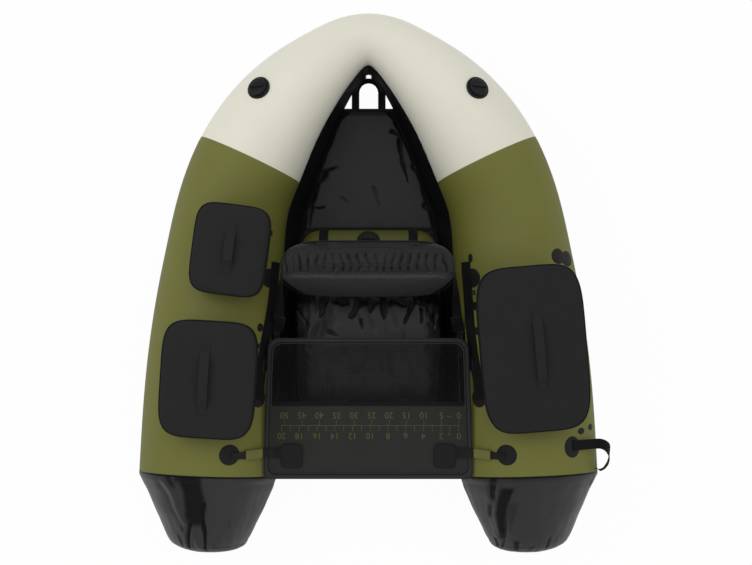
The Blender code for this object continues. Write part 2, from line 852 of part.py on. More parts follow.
def floor_edge(front, rear):
    """The inner foot of the starboard bay wall between two values of y, drawn in by the gap."""
    feet = []
    for s in bay_stations():
        foot = bay_rail(s)[2]
        feet.append((foot.x - GAP, foot.y))
    ys = [foot[1] for foot in feet]

    def x_at(y):
        return float(np.interp(-y, [-value for value in ys], [foot[0] for foot in feet]))

    between = [(x, y) for x, y in feet if rear < y < front]
    return [(x_at(front), front), *between, (x_at(rear), rear)]


def build_bay():
    """The two walls that hang from the tubes, the cargo deck and the floor that carries the seat."""
    for side, word in ((1, "right"), (-1, "left")):
        rings = [bay_rail(s) for s in bay_stations()]
        for point in rings[0]:
            point.x = GAP
        add_object(f"{word}_bay_wall", loft(rings), COATED_FABRIC, side)
    floors = (("cargo_deck", deck_front(), DECK_REAR), ("seat_floor", DECK_REAR - GAP, BAY_REAR + GAP))
    for name, front, rear in floors:
        starboard = floor_edge(front, rear)
        port = [(-x, y) for x, y in reversed(starboard)]
        origin = (0, 0, BAY_FLOOR)
        height = (0, 0, FLOOR_THICKNESS)
        prism(name, starboard + port, origin, (1, 0, 0), (0, 1, 0), height, BLACK_FABRIC)


def build_bow_handle():
    """A webbing arch sewn under the front edge of the deck, with room for a hand."""
    half = BOW_HANDLE_WIDTH / 2
    front = hull_point(0, math.pi).y - BOW_HANDLE_SETBACK
    rear = deck_front() - BOW_HANDLE_TUCK
    hand = half - BOW_HANDLE_STRAP
    top = front - BOW_HANDLE_TOP_STRAP
    outer = [(half, rear), (half, front - BOW_HANDLE_SHOULDER), (BOW_HANDLE_TOP / 2, front)]
    outer += [(-x, y) for x, y in reversed(outer)]
    arch = []
    for step in range(9):
        angle = math.pi * step / 8
        arch.append((-hand * math.cos(angle), top - hand + hand * math.sin(angle)))
    outline = outer + [(-hand, rear)] + arch + [(hand, rear)]
    level = BAY_FLOOR - GAP - BOW_HANDLE_THICKNESS
    flat_curve("bow_handle", [outline], level, BOW_HANDLE_THICKNESS, WEBBING)


def build_cross_tube():
    """The inflated tube across the bay behind the seat, its two webbing straps and its valve."""
    radius = CROSS_DIAMETER / 2
    flat = math.cos(math.pi / CROSS_SIDES)
    floor_top = BAY_FLOOR + FLOOR_THICKNESS + GAP
    centre = Vector((0, CROSS_Y, floor_top + radius * flat))

    def ring(x, size):
        points = []
        for index in range(CROSS_SIDES):
            angle = 2 * math.pi * (index + 0.5) / CROSS_SIDES
            points.append(centre + Vector((x, size * math.cos(angle), size * math.sin(angle))))
        return points

    def rings(lift):
        half = CROSS_LENGTH / 2 + lift
        places = [(-x, size) for x, size in reversed(CROSS_END_SHARES)] + list(CROSS_END_SHARES[1:])
        return [ring(half * x, radius * size + lift) for x, size in places]

    tube = add_object("cross_tube", loft(rings(0)), OLIVE_PVC)
    thicken(tube, HULL_WALL, -1)
    smooth_shading(tube)
    solid = add_object("cross_tube_solid", loft(rings(GAP)))
    angle = math.pi / 2 * CROSS_VALVE_SHARE - math.pi / CROSS_SIDES
    normal = Vector((0, math.cos(angle), math.sin(angle)))
    build_valve("cross_valve", centre + normal * radius * flat, normal, tube, solid)

    for side, word in ((1, "right"), (-1, "left")):
        path = [Vector((CROSS_STRAP_X, CROSS_Y + radius + GAP, floor_top))]
        ups = [Vector((0, 1, 0))]
        for step in range(CROSS_STRAP_STEPS + 1):
            angle = CROSS_STRAP_END * step / CROSS_STRAP_STEPS
            out = Vector((0, math.cos(angle), math.sin(angle)))
            sag = 1 / math.cos(CROSS_STRAP_END / CROSS_STRAP_STEPS / 2)
            path.append(centre + Vector((CROSS_STRAP_X, 0, 0)) + out * (radius + GAP) * sag)
            ups.append(out)
        path[0].y = path[1].y
        ribbon(f"{word}_cross_strap", path, ups, WEB_WIDTH, WEB_THICKNESS, WEBBING, side)


def drawn_in_outline(half_x, half_y, corner, draw_in, steps):
    """A rounded rectangle whose straight sides bow inwards between the corners, as on a stuffed cushion."""
    outline = []
    for x, y in rounded_rectangle(half_x * 2, half_y * 2, corner, steps):
        outline.append(Vector((x, y)))
    filled = []
    for index, point in enumerate(outline):
        following = outline[(index + 1) % len(outline)]
        filled.append(point)
        if (following - point).length > corner:
            for step in range(1, steps):
                filled.append(point.lerp(following, step / steps))
    result = []
    for point in filled:
        pull_x = draw_in * max(0, 1 - (point.y / (half_y - corner)) ** 2)
        pull_y = draw_in * max(0, 1 - (point.x / (half_x - corner)) ** 2)
        edge_x = abs(point.x) > half_x - corner / 2
        edge_y = abs(point.y) > half_y - corner / 2
        x = point.x - math.copysign(pull_x, point.x) * edge_x
        y = point.y - math.copysign(pull_y, point.y) * edge_y
        result.append((x, y))
    return result


def build_seat():
    """The inflated seat in its cover, with a crown and sides that draw in between the corners."""
    half_x = SEAT_WIDTH / 2
    half_y = (SEAT_REAR - SEAT_FRONT) / 2
    middle = Vector((0, (SEAT_REAR + SEAT_FRONT) / 2, BAY_FLOOR + FLOOR_THICKNESS + GAP))
    outline = drawn_in_outline(half_x, half_y, SEAT_CORNER, SEAT_DRAW_IN, 5)
    rings = []
    for scale, height in SEAT_RING_SHARES:
        rings.append([middle + Vector((x * scale, y * scale, SEAT_THICKNESS * height)) for x, y in outline])
    crown = middle + WORLD_UP * SEAT_THICKNESS
    seat = add_object("seat_cushion", loft(rings, "face", crown), COATED_FABRIC)
    smooth_shading(seat)


def backrest_axes():
    """Foot of the backrest on its fold axis, then its directions across, backwards and up the back."""
    foot_z = BAY_FLOOR + FLOOR_THICKNESS + SEAT_THICKNESS - BACK_FOOT_DROP
    foot = Vector((0, BACK_FOOT_Y, foot_z))
    backwards = Vector((0, math.cos(BACK_LEAN), -math.sin(BACK_LEAN)))
    upwards = Vector((0, math.sin(BACK_LEAN), math.cos(BACK_LEAN)))
    return foot, Vector((1, 0, 0)), backwards, upwards


def backrest_surface(inset, steps):
    """The backrest's crowned front, side band and bulging rear, drawn in by the inset, as a closed loft."""
    foot, across, backwards, upwards = backrest_axes()
    low = BACK_FOOT_WIDTH / 2 - inset
    high = BACK_TOP_WIDTH / 2 - inset
    tall = BACK_HEIGHT - inset * 2
    corners = [(low, -tall / 2), (high, tall / 2), (-high, tall / 2), (-low, -tall / 2)]
    outline = rounded_polygon(corners, [BACK_CORNER - inset] * 4, steps)
    middle = foot + upwards * (BACK_HEIGHT / 2)

    def ring(scale, depth, taper=0):
        points = []
        for x, y in outline:
            thicker = taper * (y * scale / tall + 1 / 2)
            points.append(middle + (across * x + upwards * y) * scale + backwards * (depth + thicker))
        return points

    taper = BACK_TOP_THICKNESS - BACK_THICKNESS
    rear = BACK_THICKNESS - inset
    rings = [ring(scale, inset - BACK_FRONT_CROWN * (1 - scale**2)) for scale in reversed(BACK_RING_SHARES)]
    rings += [ring(1, inset), ring(1, rear, taper)]
    rings += [ring(scale, rear + BACK_REAR_CROWN * (1 - scale**2), taper) for scale in BACK_RING_SHARES]
    front_tip = middle + backwards * (inset - BACK_FRONT_CROWN)
    rear_tip = middle + backwards * (rear + BACK_REAR_CROWN + taper / 2)
    return loft(rings, front_tip, rear_tip)


def build_backrest():
    """The backrest's cover, open at a zip along its foot, over the bladder that stiffens it."""
    foot, across, backwards, upwards = backrest_axes()
    cover = add_object("backrest_cover", backrest_surface(0, 5), COATED_FABRIC, pivot=foot)
    thicken(cover, BACK_WALL, -1)
    zip_place = foot + backwards * (BACK_THICKNESS / 2)
    zip_size = (BACK_ZIP_LENGTH, BACK_ZIP_WIDTH, BACK_WALL * 4)
    combine(cover, box("backrest_zip", zip_place, (across, backwards, upwards), zip_size), "DIFFERENCE")
    inset = BACK_WALL + BACK_SLACK
    bladder = add_object("backrest_bladder", backrest_surface(inset, 2), OLIVE_PVC, pivot=foot)
    thicken(bladder, HULL_WALL, -1)
    hole = cylinder("bladder_hole", zip_place, upwards, BACK_STUFF_HOLE, BACK_CORNER / 2, 10)
    combine(bladder, hole, "DIFFERENCE")
    smooth_shading(cover)
    smooth_shading(bladder)


def build_back_straps(side, word, tube_solid):
    """The webbing from the side of the backrest to its ladder-lock adjuster, which is tied down to the tube.

    The webbing lies flat against the backrest's side and makes a quarter twist on its way down."""
    foot, across, backwards, upwards = backrest_axes()
    share = BACK_STRAP_TOP_SHARE
    half = (BACK_FOOT_WIDTH + (BACK_TOP_WIDTH - BACK_FOOT_WIDTH) * share) / 2
    top = foot + across * (half + WEB_THICKNESS)
    top += upwards * (BACK_HEIGHT * share) + backwards * (BACK_THICKNESS / 2)
    lock = Vector((ADJUSTER_X, ADJUSTER_Y, ADJUSTER_Z))
    down = (lock - top).normalized()
    lock_up = (WORLD_UP - down * down.z).normalized()
    lock_top = lock - down * (ADJUSTER_LENGTH / 2 + GAP)
    path = [top.lerp(lock_top, step / BACK_STRAP_STEPS) for step in range(BACK_STRAP_STEPS + 1)]
    ups = twist(across, lock_up, BACK_STRAP_STEPS)
    ribbon(f"{word}_back_strap", path, ups, WEB_WIDTH, WEB_THICKNESS, WEBBING, side)

    name = f"{word}_back_adjuster"
    axes = (down.cross(lock_up), down, lock_up)
    size = (ADJUSTER_WIDTH, ADJUSTER_LENGTH, ADJUSTER_THICKNESS)
    body = box(name, lock, axes, size, BLACK_PLASTIC, side)
    round_edges(body, ADJUSTER_THICKNESS / 4)
    for index, place in enumerate(ADJUSTER_BAR_SHARES):
        centre = lock + down * (ADJUSTER_LENGTH * (place - 0.5)) + lock_up * (ADJUSTER_THICKNESS / 2)
        bar_size = (ADJUSTER_WIDTH - OVERRUN, ADJUSTER_BAR, ADJUSTER_BAR_RISE * 2)
        combine(body, box(f"{name}_bar_{index}", centre, axes, bar_size, side=side), "UNION")
    s, angle = hull_place(ADJUSTER_ANCHOR_X, ADJUSTER_ANCHOR_Y)
    anchor = hull_point(s, angle, -SKIN_DEPTH / 2)
    anchor_up = hull_normal(s, angle)
    s_near, angle_near = hull_place(ADJUSTER_ANCHOR_X, ADJUSTER_ANCHOR_Y + WEB_WIDTH * 2)
    near = hull_point(s_near, angle_near, WEB_THICKNESS)
    lock_foot = lock + down * (ADJUSTER_LENGTH / 2 - ADJUSTER_BAR)
    path = smooth_path([lock_foot, near, anchor], BACK_STRAP_STEPS)
    ups = twist(lock_up, anchor_up, BACK_STRAP_STEPS)
    web = ribbon(f"{name}_web", path, ups, WEB_WIDTH - OVERRUN, WEB_THICKNESS, None, side)
    combine(body, web, "UNION")
    combine(body, tube_solid, "DIFFERENCE")


def draped(name, outline, s, angle, thickness, finish, side, tube_solid=None):
    """A patch laid on the tube: its outline's x runs round the tube and its y runs towards the bow.

    It reaches under the skin, where the tube's solid cuts it to seat it on the facets."""
    _, _, _, radius = hull_section(s)

    def on_skin(x, y):
        return hull_point(s - y, angle - x / radius, PATCH_HEIGHT - SKIN_DEPTH)

    bm = bmesh.new()
    rim = [bm.verts.new(on_skin(x, y)) for x, y in outline]
    inner = [bm.verts.new(on_skin(x / 2, y / 2)) for x, y in outline]
    middle = bm.verts.new(on_skin(0, 0))
    count = len(outline)
    for index in range(count):
        beside = (index + 1) % count
        bm.faces.new((rim[index], rim[beside], inner[beside], inner[index]))
        bm.faces.new((inner[index], inner[beside], middle))
    bm.normal_update()
    bm.faces.ensure_lookup_table()
    if bm.faces[0].normal.dot(hull_normal(s, angle)) < 0:
        bmesh.ops.reverse_faces(bm, faces=bm.faces)
    obj = add_object(name, bm, finish, side)
    thicken(obj, thickness + SKIN_DEPTH, 1)
    if tube_solid:
        combine(obj, tube_solid, "DIFFERENCE")
    return obj


def round_outline(radius, steps=16):
    turn = 2 * math.pi / steps
    return [(radius * math.cos(turn * step), radius * math.sin(turn * step)) for step in range(steps)]


def side_strap_x(y):
    """Where the side strap runs at this y, seen from above."""
    return float(np.interp(-y, [-place for place in SIDE_STRAP_Y], SIDE_STRAP_X))


def build_side_strap(side, word, tube_solid):
    """The webbing along the inner flank of a tube with its two round anchor patches, and its buckle.

    Returns cutters a gap larger than the strap and its patches, which leave room for them under the bags."""
    path = []
    ups = []
    for place in smooth_path([(x, y, 0) for x, y in zip(SIDE_STRAP_X, SIDE_STRAP_Y)], SIDE_STRAP_STEPS):
        s, angle = hull_place(place.x, place.y)
        path.append(hull_point(s, angle, PATCH_HEIGHT - SKIN_DEPTH))
        ups.append(hull_normal(s, angle))
    deep = WEB_THICKNESS + SKIN_DEPTH
    strap = ribbon(f"{word}_side_strap", path, ups, WEB_WIDTH, deep, WEBBING, side)
    room = [ribbon(f"{word}_side_strap_room", path, ups, WEB_WIDTH + GAP * 2, deep + GAP * 2, None, side)]
    for end, y in (("front", SIDE_PATCH_FRONT), ("rear", SIDE_STRAP_Y[-1])):
        s, angle = hull_place(side_strap_x(y), y)
        name = f"{word}_side_{end}_patch"
        outline = round_outline(PATCH_RADIUS)
        combine(strap, draped(name, outline, s, angle, PATCH_THICKNESS, None, side), "UNION")
        outline = round_outline(PATCH_RADIUS + GAP * 2)
        room.append(draped(f"{name}_room", outline, s, angle, PATCH_THICKNESS + GAP * 2, None, side))
    combine(strap, tube_solid, "DIFFERENCE")

    s, angle = hull_place(side_strap_x(SIDE_BUCKLE_Y), SIDE_BUCKLE_Y)
    up = hull_normal(s, angle)
    _, _, sternward, _ = hull_section(s)
    lift = PATCH_HEIGHT + WEB_THICKNESS + SIDE_BUCKLE_SEAT + SIDE_BUCKLE_THICKNESS / 2
    centre = hull_point(s, angle, lift)
    size = (SIDE_BUCKLE_WIDTH, SIDE_BUCKLE_LENGTH, SIDE_BUCKLE_THICKNESS)
    axes = (sternward.cross(up), sternward, up)
    buckle = box(f"{word}_side_buckle", centre, axes, size, BLACK_PLASTIC, side)
    round_edges(buckle, SIDE_BUCKLE_THICKNESS / 4)
    return room


def apron_corners(inset, front, rear):
    """Corners of the apron between two values of y, drawn in by the inset at its sides."""

    def half_width(y):
        share = (y - APRON_FRONT) / (APRON_REAR - APRON_FRONT)
        return (APRON_FRONT_WIDTH + (APRON_REAR_WIDTH - APRON_FRONT_WIDTH) * share) / 2 - inset

    wide, narrow = half_width(rear), half_width(front)
    return [(wide, rear), (narrow, front), (-narrow, front), (-wide, rear)]


def build_apron():
    """The stripping apron: a net over the lap, a smooth panel behind it, and a binding round both."""
    fabric_level = APRON_TOP - APRON_FABRIC
    edges = []
    for inset in (0, APRON_BINDING_WIDTH):
        corners = apron_corners(inset, APRON_FRONT - inset, APRON_REAR + inset)
        edges.append(rounded_polygon(corners, [APRON_CORNER - inset] * 4, 6))
    flat_curve("apron_binding", edges, APRON_TOP + GAP, APRON_BINDING_THICKNESS, BLACK_FABRIC)

    inset = APRON_BINDING_WIDTH - APRON_TUCK
    corner = APRON_CORNER - inset
    corners = apron_corners(inset, NET_REAR - GAP, APRON_REAR + inset)
    panel = rounded_polygon(corners, [corner, GAP, GAP, corner], 4)
    origin = (0, 0, fabric_level)
    height = (0, 0, APRON_FABRIC)
    prism("apron_panel", panel, origin, (1, 0, 0), (0, 1, 0), height, BLACK_FABRIC)

    corners = apron_corners(inset, APRON_FRONT - inset, NET_REAR)
    (wide, y_rear), (narrow, y_front) = corners[:2]
    bm = bmesh.new()
    bmesh.ops.create_grid(bm, x_segments=NET_COLUMNS, y_segments=NET_ROWS, size=1)
    cells = list(bm.faces)
    cell = (y_front - y_rear) / NET_ROWS
    for vert in bm.verts:
        share = (1 - vert.co.y) / 2
        half = narrow + (wide - narrow) * share
        vert.co = Vector((vert.co.x * half, y_front + (y_rear - y_front) * share, APRON_TOP))
    bmesh.ops.inset_individual(bm, faces=cells, thickness=cell * NET_CORD_SHARE, use_even_offset=True)
    bmesh.ops.delete(bm, geom=cells, context="FACES")
    net = add_object("apron_net", bm, BLACK_NET)
    thicken(net, APRON_FABRIC, -1)


def build_apron_tab(side, word):
    """The webbing tab that ties the apron's edge to the side strap beside it."""
    y = SIDE_BUCKLE_Y + SIDE_BUCKLE_LENGTH / 2 + WEB_WIDTH / 2 + GAP * 6
    s, angle = hull_place(side_strap_x(y), y)
    foot = hull_point(s, angle, PATCH_HEIGHT + WEB_THICKNESS + SIDE_BUCKLE_SEAT)
    under = APRON_TOP - APRON_FABRIC - GAP - WEB_THICKNESS
    edge = Vector((APRON_FRONT_WIDTH / 2, y, under))
    inner = edge - Vector((APRON_TAB_LENGTH, 0, 0))
    path = [inner, edge, edge.lerp(foot, 0.5), foot]
    ribbon(f"{word}_apron_tab", path, [WORLD_UP] * 4, WEB_WIDTH, WEB_THICKNESS, WEBBING, side)


def buckle_line():
    """Where the strap leaves the apron and where it meets the tube, with the direction between them."""
    half = APRON_REAR_WIDTH / 2
    binding_top = APRON_TOP + GAP + APRON_BINDING_THICKNESS
    start = Vector((half + BUCKLE_THICKNESS / 2, BUCKLE_Y, binding_top + BUCKLE_THICKNESS / 2))
    s, angle = hull_place(half + BUCKLE_REACH, BUCKLE_Y)
    end = hull_point(s, angle, STRAP_HEIGHT)
    return start, end, (end - start).normalized()


def build_apron_buckle(side, word, tube_solid):
    """One stern corner of the apron: plate, webbing, side-release buckle and the round patch on the tube."""
    start, end, outward = buckle_line()
    aft = Vector((0, -1, 0))
    up = aft.cross(outward).normalized()
    if up.z < 0:
        up = -up
    centre = start + outward * (BUCKLE_LENGTH / 2)
    mouth = start + outward * BUCKLE_LENGTH
    axes = (outward, aft, up)
    size = (BUCKLE_LENGTH, BUCKLE_WIDTH, BUCKLE_THICKNESS)
    buckle = box(f"{word}_apron_buckle", centre, axes, size, OLIVE_PLASTIC, side)
    round_edges(buckle, BUCKLE_THICKNESS / 4)
    socket_place = mouth - outward * (BUCKLE_SOCKET_LENGTH / 2 - OVERRUN / 2)
    socket_size = (BUCKLE_SOCKET_LENGTH + OVERRUN, BUCKLE_SOCKET_WIDTH, BUCKLE_SOCKET_HEIGHT)
    socket = box(f"{word}_socket", socket_place, axes, socket_size, side=side)
    combine(buckle, socket, "DIFFERENCE")

    clip_pivot = Vector((mouth.x * side, mouth.y, mouth.z))
    base_place = mouth + outward * (CLIP_BASE_LENGTH / 2 + GAP)
    base_size = (CLIP_BASE_LENGTH, BUCKLE_SOCKET_WIDTH, BUCKLE_SOCKET_HEIGHT)
    clip = box(f"{word}_apron_clip", base_place, axes, base_size, BLACK_PLASTIC, side, clip_pivot)
    near_x = mouth.x + CLIP_WEB_REACH
    patch_x = near_x + PATCH_RADIUS
    s, angle = hull_place(patch_x, BUCKLE_Y)
    rest = PATCH_HEIGHT + PATCH_THICKNESS + GAP * 2
    landing = hull_point(s, angle, rest)
    landing_up = hull_normal(s, angle)
    s_near, angle_near = hull_place(near_x, BUCKLE_Y)
    near = hull_point(s_near, angle_near, rest + PATCH_THICKNESS)
    tail = base_place - up * (WEB_THICKNESS / 2)
    path = smooth_path([tail, near, landing], CLIP_WEB_STEPS)
    ups = twist(up, landing_up, CLIP_WEB_STEPS)
    web = ribbon(f"{word}_clip_web", path, ups, BUCKLE_SOCKET_WIDTH - OVERRUN, WEB_THICKNESS, None, side)
    combine(clip, web, "UNION")
    prong_height = BUCKLE_SOCKET_HEIGHT - CLIP_CLEARANCE * 2
    prong_reach = CLIP_PRONG_LENGTH + CLIP_BASE_LENGTH / 2
    prong_size = (prong_reach, CLIP_PRONG_WIDTH, prong_height)
    for hand, which in ((1, "aft"), (-1, "fore")):
        shift = BUCKLE_SOCKET_WIDTH / 2 - CLIP_CLEARANCE - CLIP_PRONG_WIDTH / 2
        place = mouth + outward * (CLIP_BASE_LENGTH / 2 - prong_reach / 2) + aft * (hand * shift)
        prong = box(f"{word}_{which}_prong", place, axes, prong_size, side=side)
        combine(clip, prong, "UNION")
    outline = round_outline(PATCH_RADIUS)
    draped(f"{word}_apron_patch", outline, s, angle, PATCH_THICKNESS, BLACK_PVC, side, tube_solid)

    level = APRON_TOP + GAP
    plate_x = APRON_REAR_WIDTH / 2 - PLATE_INSET
    outline = rounded_rectangle(PLATE_WIDTH, PLATE_LENGTH, PLATE_CORNER, 3)
    origin = (plate_x, PLATE_Y, level)
    height = (0, 0, PLATE_THICKNESS)
    plate = prism(f"{word}_apron_plate", outline, origin, (1, 0, 0), (0, 1, 0), height, BLACK_PLASTIC, side)
    round_edges(plate, PLATE_BEVEL)
    binding_top = level + APRON_BINDING_THICKNESS + GAP
    web_level = level + PLATE_THICKNESS / 2
    inner_edge = APRON_REAR_WIDTH / 2 - APRON_BINDING_WIDTH * BINDING_STEP_SHARE
    path = [
        Vector((plate_x, BUCKLE_Y, web_level)),
        Vector((inner_edge, BUCKLE_Y, web_level)),
        Vector((APRON_REAR_WIDTH / 2 - APRON_BINDING_WIDTH, BUCKLE_Y, binding_top + WEB_THICKNESS / 2)),
        Vector((APRON_REAR_WIDTH / 2, BUCKLE_Y, binding_top + WEB_THICKNESS / 2)),
        start - outward * GAP * 2 - up * (WEB_THICKNESS / 2),
    ]
    ups = [WORLD_UP] * 4 + [up]
    web = ribbon(f"{word}_plate_web", path, ups, WEB_WIDTH, WEB_THICKNESS, None, side)
    combine(plate, web, "UNION")
    for rib in range(RIBS):
        x = plate_x + PLATE_WIDTH / 2 + RIB_PITCH * (rib + 0.5)
        place = (x, BUCKLE_Y, web_level + WEB_THICKNESS + RIB_RISE / 2 - OVERRUN / 2)
        rib_size = (RIB_WIDTH, WEB_WIDTH + OVERRUN, RIB_RISE + OVERRUN)
        bar = box(f"{word}_rib_{rib}", place, ((1, 0, 0), (0, 1, 0), (0, 0, 1)), rib_size, side=side)
        combine(plate, bar, "UNION")


def build_stern_handle(tube_solid):
    """The webbing loop at the starboard stern for lifting the tube, from a patch round to the outer flank."""
    s, angle = hull_place(STERN_PATCH_X, STERN_PATCH_Y)
    outline = rounded_rectangle(STERN_PATCH_WIDTH, STERN_PATCH_LENGTH, STERN_PATCH_CORNER, 2)
    draped("stern_patch", outline, s, angle, PATCH_THICKNESS, BLACK_PVC, 1, tube_solid)
    points = []
    quarter = STERN_PATCH_WIDTH / 4
    for across, lift in ((0, GAP * 3), (quarter, GAP * 6), (quarter * 2, STERN_RISE / 3)):
        s_web, angle_web = hull_place(STERN_PATCH_X + across, STERN_PATCH_Y)
        points.append(hull_point(s_web, angle_web, PATCH_HEIGHT + PATCH_THICKNESS + lift))
    s_end = station_at(STERN_PATCH_Y - STERN_END_DRIFT)
    last = hull_point(s_end, STERN_END_ANGLE, GAP * 2)
    reach = points[-1] + Vector((STERN_LOOP_REACH, -STERN_LOOP_DRIFT, -STERN_RISE))
    turn = reach + Vector((STERN_TURN_REACH, -STERN_TURN_DRIFT, (last.z - reach.z) / 2))
    points += [reach, turn, last]
    path = smooth_path(points, STERN_STEPS)
    ups = twist(hull_normal(s, angle), hull_normal(s_end, STERN_END_ANGLE), STERN_STEPS)
    ribbon("stern_handle", path, ups, STERN_WEB_WIDTH, WEB_THICKNESS, WEBBING)


def build_bag(bag, seat_solid, lining_solid, strap_room):
    """A bag seated on its tube: hollow body, crowned lid hinged outboard, webbing handle and zip slider."""
    s = station_at(bag.y)
    centre, outboard, sternward, radius = hull_section(s)
    forward = -sternward
    middle = centre - outboard * bag.inboard
    low = centre.z
    top = centre.z + radius + BAG_RISE
    outline = rounded_rectangle(bag.width, bag.length, BAG_CORNER, BAG_CORNER_STEPS)

    def ring(inset, z):
        narrow = (bag.width - inset * 2) / bag.width
        short = (bag.length - inset * 2) / bag.length
        points = []
        for x, y in outline:
            point = middle + outboard * (x * narrow) + forward * (y * short)
            point.z = z
            points.append(point)
        return points

    rim = [ring(BAG_TUCK, low), ring(0, top - BAG_ZIP_BAND), ring(0, top)]
    body = add_object(f"{bag.name}_body", loft(rim), BLACK_FABRIC, bag.side)
    for cutter in (*strap_room, seat_solid):
        combine(body, cutter, "DIFFERENCE")
    room = [
        ring(BAG_TUCK + BAG_WALL, low),
        ring(BAG_WALL, top - BAG_ZIP_BAND),
        ring(BAG_WALL, top + OVERRUN),
    ]
    room = add_object(f"{bag.name}_room", loft(room), side=bag.side)
    combine(room, lining_solid, "DIFFERENCE")
    combine(body, room, "DIFFERENCE")

    hinge = middle + outboard * (bag.width / 2)
    hinge = Vector((hinge.x * bag.side, hinge.y, top))
    foot = top + GAP
    crown = foot + LID_EDGE + LID_CROWN
    rings = [
        ring(0, foot),
        ring(0, foot + LID_EDGE),
        ring(LID_CROWN_INSET / 3, foot + LID_EDGE + LID_CROWN * LID_SHOULDER_SHARE),
        ring(LID_CROWN_INSET, crown),
    ]
    lid = add_object(f"{bag.name}_lid", loft(rings), BLACK_FABRIC, bag.side, hinge)
    smooth_shading(lid)

    half = bag.handle / 2
    places = [
        (-half, 0),
        (HANDLE_FOOT - half, 0),
        (HANDLE_FOOT + HANDLE_RAMP - half, HANDLE_RISE),
        (0, HANDLE_RISE * HANDLE_PEAK_SHARE),
        (half - HANDLE_FOOT - HANDLE_RAMP, HANDLE_RISE),
        (half - HANDLE_FOOT, 0),
        (half, 0),
    ]
    path = []
    for y, rise in places:
        point = middle + forward * y
        point.z = crown + GAP + rise
        path.append(point)
    ups = [WORLD_UP] * len(path)
    ribbon(f"{bag.name}_handle", path, ups, WEB_WIDTH, WEB_THICKNESS, WEBBING, bag.side, hinge)

    run = bag.length - BAG_CORNER * 2 - SLIDER_LENGTH
    wall = middle - outboard * (bag.width / 2 + GAP * 2)
    bow_end = wall + forward * (run / 2)
    origin = Vector((bow_end.x, bow_end.y, top - SLIDER_HEIGHT - GAP))
    pivot = Vector((origin.x * bag.side, origin.y, origin.z))
    pull = SLIDER_DEPTH * SLIDER_PULL_SHARE
    profile = [
        (0, 0),
        (pull, 0),
        (pull, -SLIDER_PULL_DROP),
        (pull + SLIDER_PULL_THICKNESS, -SLIDER_PULL_DROP),
        (pull + SLIDER_PULL_THICKNESS, 0),
        (SLIDER_DEPTH, 0),
        (SLIDER_DEPTH, SLIDER_HEIGHT),
        (0, SLIDER_HEIGHT),
    ]
    start = origin + sternward * (SLIDER_LENGTH / 2)
    prism(f"{bag.name}_slider", profile, start, -outboard, WORLD_UP, forward * SLIDER_LENGTH, BLACK_PLASTIC,
          bag.side, pivot)


def build_bow_valves(bow):
    """The two valves on the bow's shoulders, seated square to the skin."""
    s, angle = hull_place(TRACK * BOW_VALVE_X_SHARE, HULL_REACH * BOW_VALVE_Y_SHARE)
    rings = [hull_ring(place, GAP / FLAT_SHARE) for place in bow_stations()]
    for side, word in ((1, "right"), (-1, "left")):
        solid = add_object(f"{word}_bow_solid", loft(rings), side=side)
        seat = hull_point(s, angle)
        normal = hull_normal(s, angle)
        seat = Vector((seat.x * side, seat.y, seat.z))
        normal = Vector((normal.x * side, normal.y, normal.z))
        build_valve(f"{word}_valve", seat, normal, bow, solid)


def build_float_tube():
    bow = build_bow()
    build_bow_valves(bow)
    build_bay()
    build_bow_handle()
    build_cross_tube()
    build_seat()
    build_backrest()
    build_apron()
    for side, word in ((1, "right"), (-1, "left")):
        tube_solid = tube_cutter(f"{word}_tube_solid", side, GAP)
        lining = tube_cutter(f"{word}_bag_lining", side, GAP + BAG_WALL)
        build_side(side, word)
        build_back_straps(side, word, tube_solid)
        strap_room = build_side_strap(side, word, tube_solid)
        build_apron_tab(side, word)
        build_apron_buckle(side, word, tube_solid)
        for bag in BAGS:
            if bag.side == side:
                build_bag(bag, tube_solid, lining, strap_room)
        if side == STERN_HANDLE_SIDE:
            build_stern_handle(tube_solid)


clear_scene()
PARTS = new_collection("float_tube")
CUTTERS = new_collection("cutters")
build_float_tube()
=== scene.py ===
"""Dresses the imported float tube: smooth welded skins, wrinkled fabric, webbing, zipped bags and the apron.

Metres, in the row's frame: +X to the starboard tube, +Y to the bow, +Z up.
"""

import math

import bmesh
import bpy
import numpy as np
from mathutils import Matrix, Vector, noise


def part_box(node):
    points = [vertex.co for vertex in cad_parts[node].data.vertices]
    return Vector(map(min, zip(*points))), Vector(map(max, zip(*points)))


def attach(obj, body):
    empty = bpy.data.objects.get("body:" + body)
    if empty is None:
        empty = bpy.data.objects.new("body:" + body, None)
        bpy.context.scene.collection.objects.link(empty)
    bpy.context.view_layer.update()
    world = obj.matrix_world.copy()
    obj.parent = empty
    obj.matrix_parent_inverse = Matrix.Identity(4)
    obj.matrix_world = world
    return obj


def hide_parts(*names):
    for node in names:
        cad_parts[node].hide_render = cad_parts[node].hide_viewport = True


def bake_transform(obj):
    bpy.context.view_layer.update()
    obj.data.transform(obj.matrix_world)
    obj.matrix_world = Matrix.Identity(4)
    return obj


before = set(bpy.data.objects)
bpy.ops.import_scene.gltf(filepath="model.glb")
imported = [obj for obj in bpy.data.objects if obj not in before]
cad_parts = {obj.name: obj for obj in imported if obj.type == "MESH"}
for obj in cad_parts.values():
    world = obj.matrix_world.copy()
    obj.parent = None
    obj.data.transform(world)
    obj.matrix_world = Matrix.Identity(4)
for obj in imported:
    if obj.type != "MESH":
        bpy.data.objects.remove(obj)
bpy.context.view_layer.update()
MM = 0.001
UP = Vector((0, 0, 1))
FULL = 2 * math.pi
SIDES = ((1, "right"), (-1, "left"))
# The photograph's camera: its place, its focal length in pixels and the picture's middle
CAMERA_X, CAMERA_HEIGHT = 0.0224, 3.31
FOCAL_PIXELS, MIDDLE_PIXEL = 1044.4, (376, 282.5)

